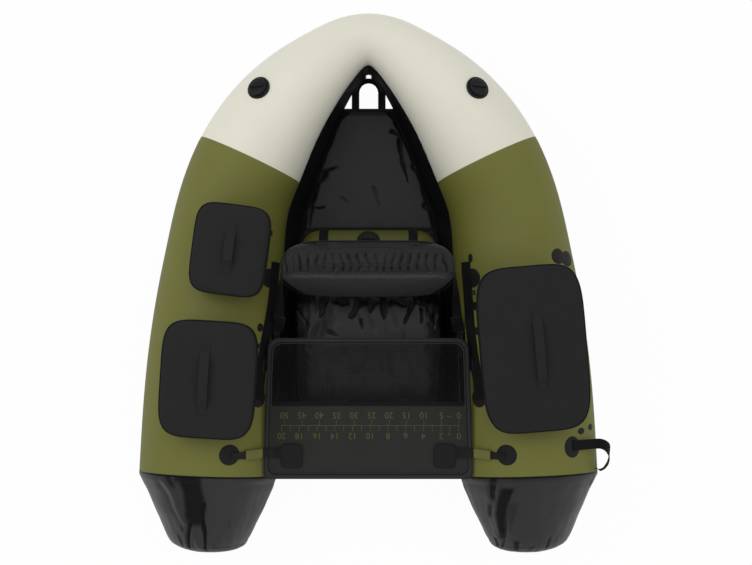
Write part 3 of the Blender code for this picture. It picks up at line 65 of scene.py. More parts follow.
# The hull, with the CAD's stations: shares of the track, the reach and the stern's radius, from the bow
TRACK, REACH, TUBE_RADIUS = 0.480, 0.8015, 0.202
KEEL_LIFT, KEEL_START, KEEL_CURVE = 0.183, 0.050, 1.6
HULL_SIDES, SKIN_SIDES = 24, 96
STATION_SHARES = (
    (0.000, 0.8858, 0.367),
    (0.110, 0.8701, 0.394),
    (0.240, 0.8181, 0.469),
    (0.400, 0.7299, 0.588),
    (0.560, 0.6182, 0.697),
    (0.7198, 0.4610, 0.783),
    (0.8177, 0.3300, 0.802),
    (0.8953, 0.0960, 0.8683),
    (0.9634, -0.3040, 0.9554),
    (0.9897, -0.7160, 1.000),
)
SEAM_STATION = 5


def solve_hull():
    """Knots along the centreline, the stations on both sides, and their second derivatives."""
    starboard = np.array(STATION_SHARES) * (TRACK, REACH, TUBE_RADIUS)
    stations = np.vstack([starboard[:0:-1] * (-1, 1, 1), starboard])
    knots = np.concatenate([[0], np.cumsum(np.hypot(*np.diff(stations[:, :2], axis=0).T))])
    knots -= knots[len(starboard) - 1]
    count = len(knots)
    matrix, right = np.eye(count), np.zeros_like(stations)
    for i in range(1, count - 1):
        before, after = knots[i] - knots[i - 1], knots[i + 1] - knots[i]
        matrix[i, i - 1 : i + 2] = before, 2 * (before + after), after
        rise = (stations[i + 1] - stations[i]) / after
        right[i] = 6 * (rise - (stations[i] - stations[i - 1]) / before)
    return knots, stations, np.linalg.solve(matrix, right)


KNOTS, STATIONS, BENDS = solve_hull()
BOW_SEAM = KNOTS[len(STATION_SHARES) - 1 + SEAM_STATION]
TAIL_SEAM = KNOTS[-1]
SQUEEZE = math.cos(math.pi / HULL_SIDES)


def hull(s):
    """Centre, outboard direction, direction to the stern and radius, s metres from the bow."""
    i = int(np.clip(np.searchsorted(KNOTS, s) - 1, 0, len(KNOTS) - 2))
    step = KNOTS[i + 1] - KNOTS[i]
    b = (s - KNOTS[i]) / step
    a = 1 - b
    first, last = STATIONS[i], STATIONS[i + 1]
    x, y, radius = a * first + b * last + ((a**3 - a) * BENDS[i] + (b**3 - b) * BENDS[i + 1]) * step**2 / 6
    slope = (last - first) / step + ((3 * b**2 - 1) * BENDS[i + 1] - (3 * a**2 - 1) * BENDS[i]) * step / 6
    sternward = Vector((slope[0], slope[1], 0)).normalized()
    rise = max(0, (y - KEEL_START) / (REACH * STATION_SHARES[0][1] - KEEL_START))
    z = radius * SQUEEZE + KEEL_LIFT * rise**KEEL_CURVE
    return Vector((x, y, z)), Vector((-sternward.y, sternward.x, 0)), sternward, radius


def skin_up(s, angle):
    return hull(s)[1] * math.cos(angle) + UP * math.sin(angle)


def skin(s, angle, lift=0.0):
    """A point of the tube's skin: angle 0 is outboard, a quarter turn is the top."""
    centre, _, _, radius = hull(s)
    return centre + skin_up(s, angle) * (radius + lift)


def station(behind):
    """Distance from the bow at which behind(centre, sternward) turns from true to false, by halving."""
    low, high = 0.0, TAIL_SEAM
    for _ in range(40):
        middle = (low + high) / 2
        centre, _, sternward, _ = hull(middle)
        low, high = (middle, high) if behind(centre, sternward) else (low, middle)
    return low


def find(x, y):
    """Distance from the bow and angle of the skin seen from above at x, y on the starboard side."""
    target = Vector((x, y, 0))
    s = station(lambda centre, sternward: (target - centre).dot(sternward) > 0)
    centre, outboard, _, radius = hull(s)
    return s, math.acos(max(-1, min(1, (target - centre).dot(outboard) / radius)))


def on_skin(x, y, lift):
    return skin(*find(x, y), lift)


# Materials


def linear(hex_colour):
    """An sRGB hex colour as linear values, with alpha 1."""
    values = [int(hex_colour[i : i + 2], 16) / 255 for i in (0, 2, 4)]
    return [v / 12.92 if v <= 0.04045 else ((v + 0.055) / 1.055) ** 2.4 for v in values] + [1.0]


def add_node(tree, kind, settings=(), into=None, **inputs):
    """A shader node with its settings and links.

    Inputs are named, or i and a number. A socket given as one is linked to it. The first output goes into the
    given socket.
    """
    made = tree.nodes.new("ShaderNode" + kind)
    for key, value in dict(settings).items():
        setattr(made, key, value)
    for key, value in inputs.items():
        socket = made.inputs[int(key[1:]) if key[1:].isdigit() else key.replace("_", " ")]
        if isinstance(value, bpy.types.NodeSocket):
            tree.links.new(value, socket)
        else:
            socket.default_value = value
    if into is not None:
        tree.links.new(made.outputs[0], into)
    return made


def surface(name, colour, roughness, specular=0.5, sheen=0.0, coat=0.0):
    """A Principled material, with its tree and shader."""
    material = bpy.data.materials.new(name)
    material.use_nodes = True
    material.diffuse_color = linear(colour)
    shader = material.node_tree.nodes["Principled BSDF"]
    for socket, value in (("Base Color", linear(colour)), ("Roughness", roughness), ("IOR", 1.5),
                          ("Specular IOR Level", specular), ("Sheen Weight", sheen), ("Sheen Roughness", 0.5),
                          ("Coat Weight", coat), ("Coat Roughness", 0.25)):
        shader.inputs[socket].default_value = value
    return material, material.node_tree, shader


def wave_scale(pitch_mm):
    """The Wave texture's scale for bands this far apart, in coordinates of metres."""
    return math.pi / 10 / (pitch_mm * MM)


def noise_scale(size_mm):
    return 1 / (size_mm * MM)


def creased(tree, shader, specular):
    """Darkens the depths of folds, where no light gets in, by the mesh's own crease values."""
    depth = add_node(tree, "Attribute", {"attribute_name": "crease"}).outputs["Fac"]
    left = add_node(tree, "MapRange", Value=depth, i3=1.0, i4=0.12).outputs[0]
    colour = shader.inputs["Base Color"].links[0].from_socket
    dark = add_node(tree, "Mix", {"data_type": "RGBA", "blend_type": "MULTIPLY"}, i0=1.0, i6=colour, i7=left)
    tree.links.new(dark.outputs[2], shader.inputs["Base Color"])
    add_node(tree, "Math", {"operation": "MULTIPLY"}, shader.inputs["Specular IOR Level"], i0=left,
             i1=specular)


def uneven(tree, shader, vector, colour, share, size_mm):
    """Varies the base colour by a share, in patches of this size, as dye and handling do."""
    patches = add_node(tree, "TexNoise", Vector=vector, Scale=noise_scale(size_mm), Detail=4.0)
    light = [min(1, c * (1 + share)) for c in linear(colour)[:3]] + [1]
    dark = [c * (1 - share) for c in linear(colour)[:3]] + [1]
    mixed = add_node(tree, "Mix", {"data_type": "RGBA"}, i0=patches.outputs["Fac"], i6=dark, i7=light)
    tree.links.new(mixed.outputs[2], shader.inputs["Base Color"])


def coated_pvc(name, colour, roughness, coat=0.0, sheen=0.0):
    """Welded PVC over a woven base: a smooth satin skin with the weave faintly printed through."""
    material, tree, shader = surface(name, colour, roughness, 0.35, sheen, coat)
    where = add_node(tree, "TexCoord").outputs["Object"]
    uneven(tree, shader, where, colour, 0.035, 90)
    grain = add_node(tree, "TexNoise", Vector=where, Scale=noise_scale(1.1), Detail=2.0)
    add_node(tree, "Bump", into=shader.inputs["Normal"], Height=grain.outputs["Fac"], Distance=0.08 * MM,
             Strength=0.35)
    creased(tree, shader, 0.35)
    return material


def woven(name, colour, roughness, pitch_mm):
    """Plain-woven nylon: crossed threads at their real pitch, dull, with a soft edge glow from the fibres."""
    material, tree, shader = surface(name, colour, roughness, 0.2, 0.03)
    where = add_node(tree, "TexCoord").outputs["Object"]
    uneven(tree, shader, where, colour, 0.08, 45)
    threads = []
    for direction in ("X", "Y"):
        bands = add_node(tree, "TexWave", {"bands_direction": direction}, Vector=where,
                         Scale=wave_scale(pitch_mm), Distortion=0.4)
        threads.append(bands.outputs["Fac"])
    cross = add_node(tree, "Math", {"operation": "MAXIMUM"}, i0=threads[0], i1=threads[1])
    add_node(tree, "Bump", into=shader.inputs["Normal"], Height=cross.outputs[0], Distance=0.12 * MM,
             Strength=0.5)
    return material


def shiny_nylon(name, colour, roughness, specular=0.55):
    """Thin coated nylon over air: small creases catch the light and give sharp grey glints on black."""
    material, tree, shader = surface(name, colour, roughness, specular)
    where = add_node(tree, "TexCoord").outputs["Object"]
    uneven(tree, shader, where, colour, 0.12, 60)
    creases = add_node(tree, "TexNoise", {"noise_type": "RIDGED_MULTIFRACTAL"}, Vector=where,
                       Scale=noise_scale(38), Detail=3.0, Distortion=0.6)
    add_node(tree, "Bump", into=shader.inputs["Normal"], Height=creases.outputs["Fac"], Distance=2.2 * MM,
             Strength=0.35)
    creased(tree, shader, specular)
    return material


def ribbed_webbing(name, colour):
    """Polyester webbing: ribs across the strap at their real pitch, and raised edges along it."""
    material, tree, shader = surface(name, colour, 0.75, 0.15, 0.02)
    where = add_node(tree, "TexCoord").outputs["UV"]
    ribs = add_node(tree, "TexWave", {"bands_direction": "Y"}, Vector=where, Scale=wave_scale(1.9))
    cords = add_node(tree, "TexWave", {"bands_direction": "X"}, Vector=where, Scale=wave_scale(3.2))
    both = add_node(tree, "Math", {"operation": "MULTIPLY"}, i0=ribs.outputs["Fac"], i1=cords.outputs["Fac"])
    uneven(tree, shader, where, colour, 0.12, 30)
    add_node(tree, "Bump", into=shader.inputs["Normal"], Height=both.outputs[0], Distance=0.35 * MM,
             Strength=0.8)
    return material


def moulded(name, colour):
    """Moulded nylon fittings: satin plastic with the fine spark texture of the mould."""
    material, tree, shader = surface(name, colour, 0.5, 0.3)
    where = add_node(tree, "TexCoord").outputs["Object"]
    grain = add_node(tree, "TexNoise", Vector=where, Scale=noise_scale(0.6), Detail=1.0)
    add_node(tree, "Bump", into=shader.inputs["Normal"], Height=grain.outputs["Fac"], Distance=0.04 * MM,
             Strength=0.4)
    return material


CREAM = coated_pvc("cream_hull_pvc", "DAD8C8", 0.60, 0.0, 0.30)
OLIVE = coated_pvc("olive_hull_pvc", "6A6B2D", 0.60)
# The tubes' olive PVC made darker: painted shade for the cross tube, which lies low between the tubes
SHADED_CROSS_OLIVE = coated_pvc("olive_cross_tube_pvc_painted_shade", "4C4D20", 0.60)
TAIL = coated_pvc("black_tail_pvc", "2B2B2B", 0.42, 0.1)
PATCH = coated_pvc("black_patch_pvc", "141316", 0.68)
BAG_CLOTH = woven("bag_nylon", "222223", 0.90, 0.9)
WELT = woven("bag_welt_tape", "131214", 0.85, 0.7)
DECK_CLOTH = shiny_nylon("deck_nylon", "232424", 0.62, 0.35)
SEAT_CLOTH = shiny_nylon("seat_nylon", "232324", 0.44)
# The seat's black nylon made lighter: painted light on the backrest's front panel; its top and sides are
# painted darker again through the crease values
LIT_BACK_CLOTH = shiny_nylon("backrest_nylon_painted_light", "323233", 0.48, 0.45)
WALL_CLOTH = shiny_nylon("bay_wall_nylon", "09090A", 0.60, 0.25)
PANEL_CLOTH = woven("apron_panel_nylon", "2B2B29", 0.85, 0.8)
BINDING_CLOTH = woven("apron_binding_tape", "2E2E2F", 0.85, 1.1)
# Knitted polyester cord, too thin to show its threads: a dull black line
NET_CORD = surface("apron_net_cord", "161616", 0.7, 0.2)[0]
WEB = ribbed_webbing("black_webbing", "0F0F11")
GRIP_WEB = ribbed_webbing("grey_grip_webbing", "232324")
BLACK = moulded("black_fittings", "121214")
OLIVE_FITTING = moulded("olive_buckle", "666732")
# Screen-printed ink that has sunk into the cloth: flat and matt
RULER_INK = surface("olive_ruler_print", "525330", 0.7, 0.2)[0]


# Mesh helpers


def fade(value, low, high):
    """0 below low, 1 above high, smooth between them."""
    t = min(1, max(0, (value - low) / (high - low)))
    return t * t * (3 - 2 * t)


def turns(count):
    """Cosine and sine of angles spread evenly round a full turn."""
    return [(math.cos(FULL * k / count), math.sin(FULL * k / count)) for k in range(count)]


def flipped(points, side=1):
    """Points on this side of the keel, none of them below the floor that the object stands on."""
    return [Vector((side * p.x, p.y, max(0, p.z))) for p in points]


def mesh_piece(name, rows, material, slot, body="hull", wrap=True, ends=(False, False), replaces=(), side=1,
               uv=None, ring=False, creases=()):
    """A smooth mesh through rows of points: wrap closes each row, ring joins the last row to the first."""
    count = len(rows[0])
    verts = [Vector((p.x * side, p.y, p.z)) for row in rows for p in row]
    faces = []
    last = len(rows) if ring else len(rows) - 1
    for i in range(last):
        j = (i + 1) % len(rows)
        for k in range(count if wrap else count - 1):
            m = (k + 1) % count
            faces.append((i * count + k, i * count + m, j * count + m, j * count + k))
    for cap, i in zip(ends, (0, len(rows) - 1)):
        if cap:
            faces.append(tuple(range(i * count, (i + 1) * count)))
    mesh = bpy.data.meshes.new(name)
    mesh.from_pydata(verts, [], faces)
    if uv:
        layer = mesh.uv_layers.new(name="cloth")
        for loop in mesh.loops:
            layer.data[loop.index].uv = uv[loop.vertex_index]
    store_creases(mesh, creases)
    return finish_piece(name, mesh, material, body, replaces)


def store_creases(mesh, values):
    """Keeps each vertex's crease value, from 0 to 1, for the cloth materials: how much painted shade darkens
    its colour there, in folds and other places that get little light, or the dark line of a tail's weld.
    """
    if len(values):
        held = [min(1, max(0, v)) for v in values]
        mesh.attributes.new("crease", "FLOAT", "POINT").data.foreach_set("value", held)


def finish_piece(name, mesh, material, body="hull", replaces=()):
    """Turns the faces outwards, shades them smooth, and hangs the piece on its body."""
    work = bmesh.new()
    work.from_mesh(mesh)
    work.normal_update()
    bmesh.ops.recalc_face_normals(work, faces=work.faces)
    work.to_mesh(mesh)
    work.free()
    mesh.shade_smooth()
    mesh.set_sharp_from_angle(angle=math.radians(50))
    mesh.materials.append(material)
    obj = bpy.data.objects.new(name, mesh)
    bpy.context.scene.collection.objects.link(obj)
    if body:
        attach(obj, body)
    if replaces:
        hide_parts(*replaces)
    return obj


def paint(node, material):
    """Gives a CAD node whose shape is right a better material."""
    for place in bpy.data.objects[node].material_slots:
        place.material = material


def smooth_path(points, count):
    """Points on a Catmull-Rom curve through the given ones."""
    points = [Vector(p) for p in points]
    points = [points[0] * 2 - points[1], *points, points[-1] * 2 - points[-2]]
    spans = len(points) - 3
    path = []
    for step in range(count + 1):
        place = spans * step / count
        i = min(int(place), spans - 1)
        t = place - i
        a, b, c, d = points[i : i + 4]
        bend = (a * 2 - b * 5 + c * 4 - d) * t**2 + (b * 3 - a - c * 3 + d) * t**3
        path.append((b * 2 + (c - a) * t + bend) / 2)
    return path


def blend_between(values, count):
    """Vectors spread evenly from the first of the values to the last."""
    spread = []
    for step in range(count + 1):
        place = (len(values) - 1) * step / count
        i = min(int(place), len(values) - 2)
        spread.append(Vector(values[i]).lerp(Vector(values[i + 1]), place - i).normalized())
    return spread


# A strap's section: share of the half width, and share of the thickness
STRAP_PROFILE = (
    (-1, 0.5), (-0.97, 0.9), (-0.85, 1), (0, 1), (0.85, 1), (0.97, 0.9), (1, 0.5), (0.97, 0.1), (0, 0),
    (-0.97, 0.1),
)
WEB_WIDTH = 0.0265


def webbing(name, points, ups, width, body="hull", replaces=(), side=1, thickness=0.0019, steps=40,
            material=WEB, slot="webbing"):
    """A strap with rounded selvedges whose underside follows the points."""
    path, turned = smooth_path(points, steps), blend_between(ups, steps)
    rows, uv, run = [], [], 0.0
    for i, point in enumerate(path):
        forward = (path[min(i + 1, steps)] - path[max(i - 1, 0)]).normalized()
        across = forward.cross(turned[i]).normalized()
        up = across.cross(forward)
        run += (point - path[max(i - 1, 0)]).length
        rows.append([point + across * (a * width / 2) + up * (h * thickness) for a, h in STRAP_PROFILE])
        uv += [(a * width / 2, run) for a, _ in STRAP_PROFILE]
    return mesh_piece(name, rows, material, slot, body, True, (True, True), replaces, side, uv)


def cord_loop(name, path, radius, material, slot, body="hull", side=1, sides=8):
    """A closed loop of round cord, such as piping or a wire ring."""
    rows = []
    for i, point in enumerate(path):
        forward = (path[(i + 1) % len(path)] - path[i - 1]).normalized()
        across = forward.cross(UP)
        if across.length <= 0.05:
            across = forward.cross(Vector((1, 0, 0)))
        across.normalize()
        up = across.cross(forward)
        rows.append([point + across * (c * radius) + up * (s * radius) for c, s in turns(sides)])
    return mesh_piece(name, rows, material, slot, body, side=side, ring=True)


def squircle(half_x, half_y, power, count=96):
    """A rounded rectangle whose sides bow outwards, as points."""
    bowed = [[math.copysign(abs(v) ** (2 / power), v) for v in turn] for turn in turns(count)]
    return [(c * half_x, s * half_y) for c, s in bowed]


PATCH_THICKNESS = 0.0024


def skin_patch(name, x, y, half_x, half_y, side=1, power=2.0, replaces=(), lift=0.0):
    """A welded patch with a softly rounded edge, laid on the tube's skin."""
    s, angle = find(x, y)
    radius = hull(s)[3]
    rows = []
    for share, height in ((0.001, 1), (0.5, 1), (0.86, 1), (0.95, 0.85), (0.99, 0.45), (1.0, -0.3)):
        rows.append([skin(s - v * share, angle - u * share / radius, lift + PATCH_THICKNESS * height)
                     for u, v in squircle(half_x, half_y, power, 40)])
    return mesh_piece(name, rows, PATCH, "black_pvc", side=side, replaces=replaces, ends=(True, False))


def ridge(point, seed):
    """Crease noise: 1 on a crest, falling away sharply on both sides."""
    return 1 - 2 * abs(noise.noise(point + Vector((seed, seed * 1.7, seed * 0.6))))


def displace(obj, folds):
    """Moves each vertex along its normal, and stores its crease value, the painted shade of its colour. Both
    come from folds(point, normal).
    """
    mesh = obj.data
    normals = [v.normal.copy() for v in mesh.vertices]
    creases = []
    for v, normal in zip(mesh.vertices, normals):
        height, crease = folds(v.co, normal)
        v.co += normal * height
        creases.append(crease)
    store_creases(mesh, creases)
    mesh.update()


def in_pits(x, y, pits):
    """How deep x, y lies in the deepest of the pits, from 0 to 1. Their edges wander as cloth does."""
    depth = 0.0
    x += 0.0045 * noise.noise(Vector((x * 55, y * 40, 1.7)))
    y += 0.0060 * noise.noise(Vector((x * 45, y * 30, 6.1)))
    for x0, y0, x1, y1, wide, share in pits:
        run_x, run_y, reach = x1 - x0, y1 - y0, wide * 1.8
        if abs(x - (x0 + x1) / 2) > abs(run_x) / 2 + reach or abs(y - (y0 + y1) / 2) > abs(run_y) / 2 + reach:
            continue
        along = min(1, max(0, ((x - x0) * run_x + (y - y0) * run_y) / (run_x**2 + run_y**2)))
        away = math.hypot(x - x0 - along * run_x, y - y0 - along * run_y) / (wide * (1.1 - 0.62 * along))
        depth = max(depth, share * (1 - 0.35 * along) * (1 - fade(away, 0.25, 1.6)))
    return depth


# Hull

SKIN_ANGLES = [FULL * k / SKIN_SIDES for k in range(SKIN_SIDES)]
# How far the olive skin laps over the cream, its thickness, and how much further astern its edge runs on top
# than on the inner flank
WELD_LAP, PVC, WELD_SLANT = 0.022, 0.0010, 0.007
# The olive skin is drawn in two parts, which meet this far ahead of the tube's end
SHOULDER = 0.060


def tube_rows(first, last, count):
    """Sections of the tube. Places before the bow's middle are mirrored ones on the port side."""
    rows = []
    for i in range(count + 1):
        s = first + (last - first) * i / count
        rows.append(flipped([skin(abs(s), angle) for angle in SKIN_ANGLES], math.copysign(1, s)))
    return rows


def make_hull():
    """The cream bow and the olive tubes, whose edge laps over the cream at a weld that slants."""
    reach = BOW_SEAM + WELD_LAP
    mesh_piece("bow_skin", tube_rows(-reach, reach, 96), CREAM, "cream_pvc", replaces=("bow_tube",))
    last = TAIL_SEAM - SHOULDER
    for side, word in SIDES:
        rows = []
        for i, share in enumerate(np.linspace(0, 1, 82)):
            s = BOW_SEAM + (last - BOW_SEAM) * share
            lift = PVC if i else PVC / 5
            rows.append(flipped([skin(s + WELD_SLANT * (1 + math.cos(a)) * (1 - share), a, lift)
                                 for a in SKIN_ANGLES]))
        rows.insert(1, [a.lerp(b, 0.12) for a, b in zip(rows[0], rows[1])])
        for i in range(9):
            rows.append(flipped([skin(last + (SHOULDER + 0.004 - tail_shift(a)) * (i + 1) / 9, a, PVC)
                                 for a in SKIN_ANGLES]))
        mesh_piece(f"{word}_tube_skin", rows, OLIVE, "olive_pvc", side=side, replaces=(f"{word}_side_tube",))
        make_tail(side, word)


# Radius of the tail along its length: millimetres from the tube's end, and radius
TAIL_PROFILE = (
    (-60, 200.5), (-10, 200.5), (15, 192.5), (45, 180.0), (89.5, 162.5), (133, 143.0), (163, 129.0),
    (176, 122.0), (192, 111.5), (201.1, 101.0), (207.5, 86.0), (211.5, 64.0), (213.5, 33.0), (214, 0.4),
)
# Tail folds: start and end angle from starboard and half width in degrees, start and end along the tail,
# depth in mm and darkness, the painted shade in the fold
TAIL_FOLDS = {
    "left": (
        (96, 97, 9, -0.10, 0.62, 5, 0.85), (88.5, 87, 2.6, 0.28, 0.95, 5, 0.9),
        (103, 112, 2.6, 0.55, 0.94, 5, 0.9), (118, 110, 2.6, -0.02, 0.16, 3, 0.7),
        (107, 107, 1.8, -0.05, 0.10, 2, 0.7), (113, 113, 1.6, 0.62, 0.70, 3, 0.6),
        (122, 121, 1.6, 0.74, 0.90, 3, 0.4), (121, 107, 3.5, 0.02, 0.62, -3, 0),
        (97, 97, 3, 0.72, 0.92, -3, 0), (62, 58, 2, 0.55, 0.66, 2, 0.2), (77, 72, 1.6, 0.80, 0.92, 2, 0.3),
        (82, 84, 1.8, 0.90, 0.99, 2, 0.3),
    ),
    "right": (
        (115, 131, 5.5, 0.12, 0.80, 5, 0.85), (125.7, 129, 3.2, -0.03, 0.30, 4, 0.8),
        (133, 138, 2.8, 0.32, 0.52, 3, 0.7), (112, 124, 7, 0.30, 0.70, 2, 0.3),
        (145, 148, 2.6, 0.78, 0.94, 4, 0.8), (127, 140, 2.6, 0.78, 0.94, 4, 0.8),
        (111, 118, 4, 0.78, 0.99, 4, 0.8), (70, 69, 2.2, 0.76, 0.93, 3, 0.6),
        (83, 83, 2.4, 0.90, 0.99, 3, 0.4), (93, 95, 5, 0.84, 0.95, 2, 0.25),
        (92, 92, 22, -0.10, 0.06, 1, 0.55), (118, 119, 14, -0.10, 0.03, 1, 0.6),
        (31, 30, 3, 0.00, 0.20, 3, 0.6), (120, 134, 3, 0.06, 0.75, -3, 0),
    ),
}
# The same for folds that no view shows: they run round the sides and the underside
HIDDEN_FOLDS = tuple((angle, angle, 6, 0.05, 0.95, 2.5, 0) for angle in (-18, -60, -110, -150, 170))


def tail_shift(angle):
    """How far ahead of the tube's end the tail's weld lies: most on top, least on the inner flank."""
    return 0.0045 + 0.0035 * math.cos(angle) + 0.0245 * max(0, math.sin(angle))


def tail_folds(degrees, u, folds):
    """Depth and painted shade of the folds at an angle and a share of the tail's length."""
    fold = dark = 0.0
    for start, stop, width, low, high, depth, shade in folds:
        if low - 0.05 < u < high + 0.05:
            place = start + (stop - start) * min(1, max(0, (u - low) / (high - low)))
            place += 0.8 * math.sin(14 * u + start)
            width = width * (1 + 0.25 * noise.noise(Vector((u * 9, start, 0))))
            away = abs((degrees - place + 180) % 360 - 180) / width
            run = fade(u, low - 0.03, low + 0.05) * (1 - fade(u, high - 0.06, high + 0.02))
            fold += depth * MM * run * (0.3 * math.exp(-((away - 1.9) ** 2) * 2) - math.exp(-away**3))
            dark = max(dark, shade * run * (1 - fade(away, 0.75, 1.25)))
    return fold, dark


def make_tail(side, word):
    """The black tail cone: a slack skin with long folds that run from its weld to its blunt end."""
    centre, outboard, sternward, _ = hull(TAIL_SEAM)
    places, sizes = np.array(TAIL_PROFILE).T * MM
    sides, steps = 240, 110
    folds = (*TAIL_FOLDS[word], *HIDDEN_FOLDS)
    rows, creases = [], []
    for i in range(steps + 1):
        u = math.sin(math.pi / 2 * i / steps)
        row = []
        for k, (c, s) in enumerate(turns(sides)):
            angle = FULL * k / sides
            weld = -tail_shift(angle) - 0.005
            along = weld + (places[-1] - weld) * u
            size = float(np.interp(along, places, sizes))
            fold, dark = tail_folds(360 * k / sides if side > 0 else 180 - 360 * k / sides, u, folds)
            # Painted shade in the dark folds, and the seam's own dark line at the weld
            creases.append(max(dark, 0.9 * (1 - fade(along - weld, 0.0035, 0.0065))))
            slack = noise.noise(Vector((c * 2.2, s * 2.2, u * 2.5))) * 0.0025
            slack += noise.noise(Vector((c * 7, s * 7, u * 5))) * 0.0010
            held = fade(along - weld, 0.009, 0.026)
            lift = 0.0022 * (1 - held) + (fold + slack - 0.0005) * held
            inboard = 0.0062 * fade(along, -0.015, 0.035) + 0.011 * fade(along, 0.185, 0.213)
            p = centre + sternward * along - outboard * inboard
            row.append(p + (outboard * c + UP * s) * max(0.0003, size + lift * min(1, size / 0.09)))
        rows.append(flipped(row))
    mesh_piece(f"{word}_tail_skin", rows, TAIL, "black_pvc", side=side, replaces=(f"{word}_tail_cone",),
               ends=(False, True), creases=creases)


# Cargo bay

BAY_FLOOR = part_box("cargo_deck")[0][2]
BAY_LEAN, BAY_LEAN_LENGTH = 0.042, 0.490
HEM_ANGLE = math.radians(25)
# How far the wall's cloth stands off the tube's skin
CLOTH_STAND = 0.0016


def bay_rail(s):
    """Top and foot of the bay wall beside this part of the tube."""
    centre, outboard, _, radius = hull(s)
    top = centre - outboard * (radius * SQUEEZE + 0.0003)
    top.x = max(top.x, 0)
    aft = min(1, max(0, (skin(0, math.pi).y - top.y) / BAY_LEAN_LENGTH))
    foot = top - outboard * (BAY_LEAN * math.sin(math.pi / 2 * aft))
    foot.x, foot.z = max(foot.x, 0), BAY_FLOOR
    return top, foot, outboard


BAY_LAST = TAIL_SEAM
while bay_rail(BAY_LAST)[0].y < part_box("right_bay_wall")[0][1] + 0.003:
    BAY_LAST -= 0.001
FEET = [bay_rail(BAY_LAST * i / 300)[1] for i in range(301)]


def floor_half(y):
    """Half the width of the bay's floor, between the feet of its walls."""
    return float(np.interp(-y, [-p.y for p in FEET], [p.x for p in FEET]))


FLOOR_ROWS, FLOOR_COLUMNS = 160, 120


def floor_cloth(name, node, front, rear, lift, folds):
    """Slack cloth between the feet of the two walls. folds(x, y, edge) gives its height and its crease value,
    the painted shade of its colour.
    """
    rows, creases = [], []
    for i in range(FLOOR_ROWS + 1):
        y = front + (rear - front) * i / FLOOR_ROWS
        half = floor_half(y) - 0.0006
        row = []
        for k in range(FLOOR_COLUMNS + 1):
            x = half * (2 * k / FLOOR_COLUMNS - 1)
            height, crease = folds(x, y, half - abs(x))
            row.append(Vector((x, y, BAY_FLOOR + lift + height)))
            creases.append(crease)
        rows.append(row)
    cloth = mesh_piece(name, rows, DECK_CLOTH, "black_fabric", wrap=False, replaces=(node,), creases=creases)


def pit_table(*rows):
    """Pits given in mm (x, y of both ends, half width) and depth from 0 to 1, turned to metres."""
    return [[*(v * MM for v in row[:5]), row[5]] for row in rows]


# Pits in the deck's cloth, sunk and painted with shade
DECK_PITS = pit_table(
    (71, 458, 99, 447, 6.1, 0.9), (96, 432, 103, 359, 7.9, 1), (105, 359, 120, 304, 4, 0.8),
    (138, 356, 160, 304, 6.7, 0.8), (170, 237, 178, 224, 7.6, 0.9), (-109, 348, -142, 337, 3.7, 0.9),
    (-136, 331, -164, 301, 11, 1), (-161, 295, -173, 237, 9.8, 1), (-139, 229, -164, 226, 3.7, 0.8),
    (-176, 230, -182, 176, 7.9, 0.8), (15, 288, 35, 234, 4.6, 0.35), (-81, 261, -65, 243, 4, 0.35),
    (-106, 350, -91, 356, 3.4, 0.5),
)
# How far the deck dips beside its walls and is painted with shade there: y, and mm from the port and the
# starboard wall
DECK_DIPS = np.array((
    (176, 14, 13), (221, 8, 11), (252, 20, 12), (304, 10, 4), (353, 5, 8), (397, 6, 10), (435, 9, 14),
    (472, 6, 17), (500, 10, 16), (517, 22, 24),
)).T * MM


def deck_folds(x, y, edge):
    """Height and painted shade of the deck: pits and dips beside the walls, sunk and darkened, and a nearly
    flat middle.
    """
    dip = float(np.interp(y, DECK_DIPS[0], DECK_DIPS[1 if x < 0 else 2]))
    dip *= 1 + 0.35 * noise.noise(Vector((x * 9, y * 42, 1.0)))
    low = max(in_pits(x, y, DECK_PITS), 1 - fade(edge, dip - 0.004, dip + 0.006))
    rise = 0.0105 + noise.noise(Vector((x * 11, y * 6, 0.4))) * 0.0020
    ends = fade(y, 0.150, 0.170) * (1 - fade(y, 0.505, 0.527))
    height = max(0, rise * (1 - low) - 0.0025 * (1 - fade(edge, 0, 0.03)))
    return height * fade(edge, 0, 0.006) * ends, low * 0.9


# The floor under the seat: slight ripples, and an even painted shade over all of it
def seat_floor_folds(x, y, edge):
    return max(0, noise.noise(Vector((x * 12, y * 12, 5.0)))) * 0.002 * fade(edge, 0, 0.02), 0.7


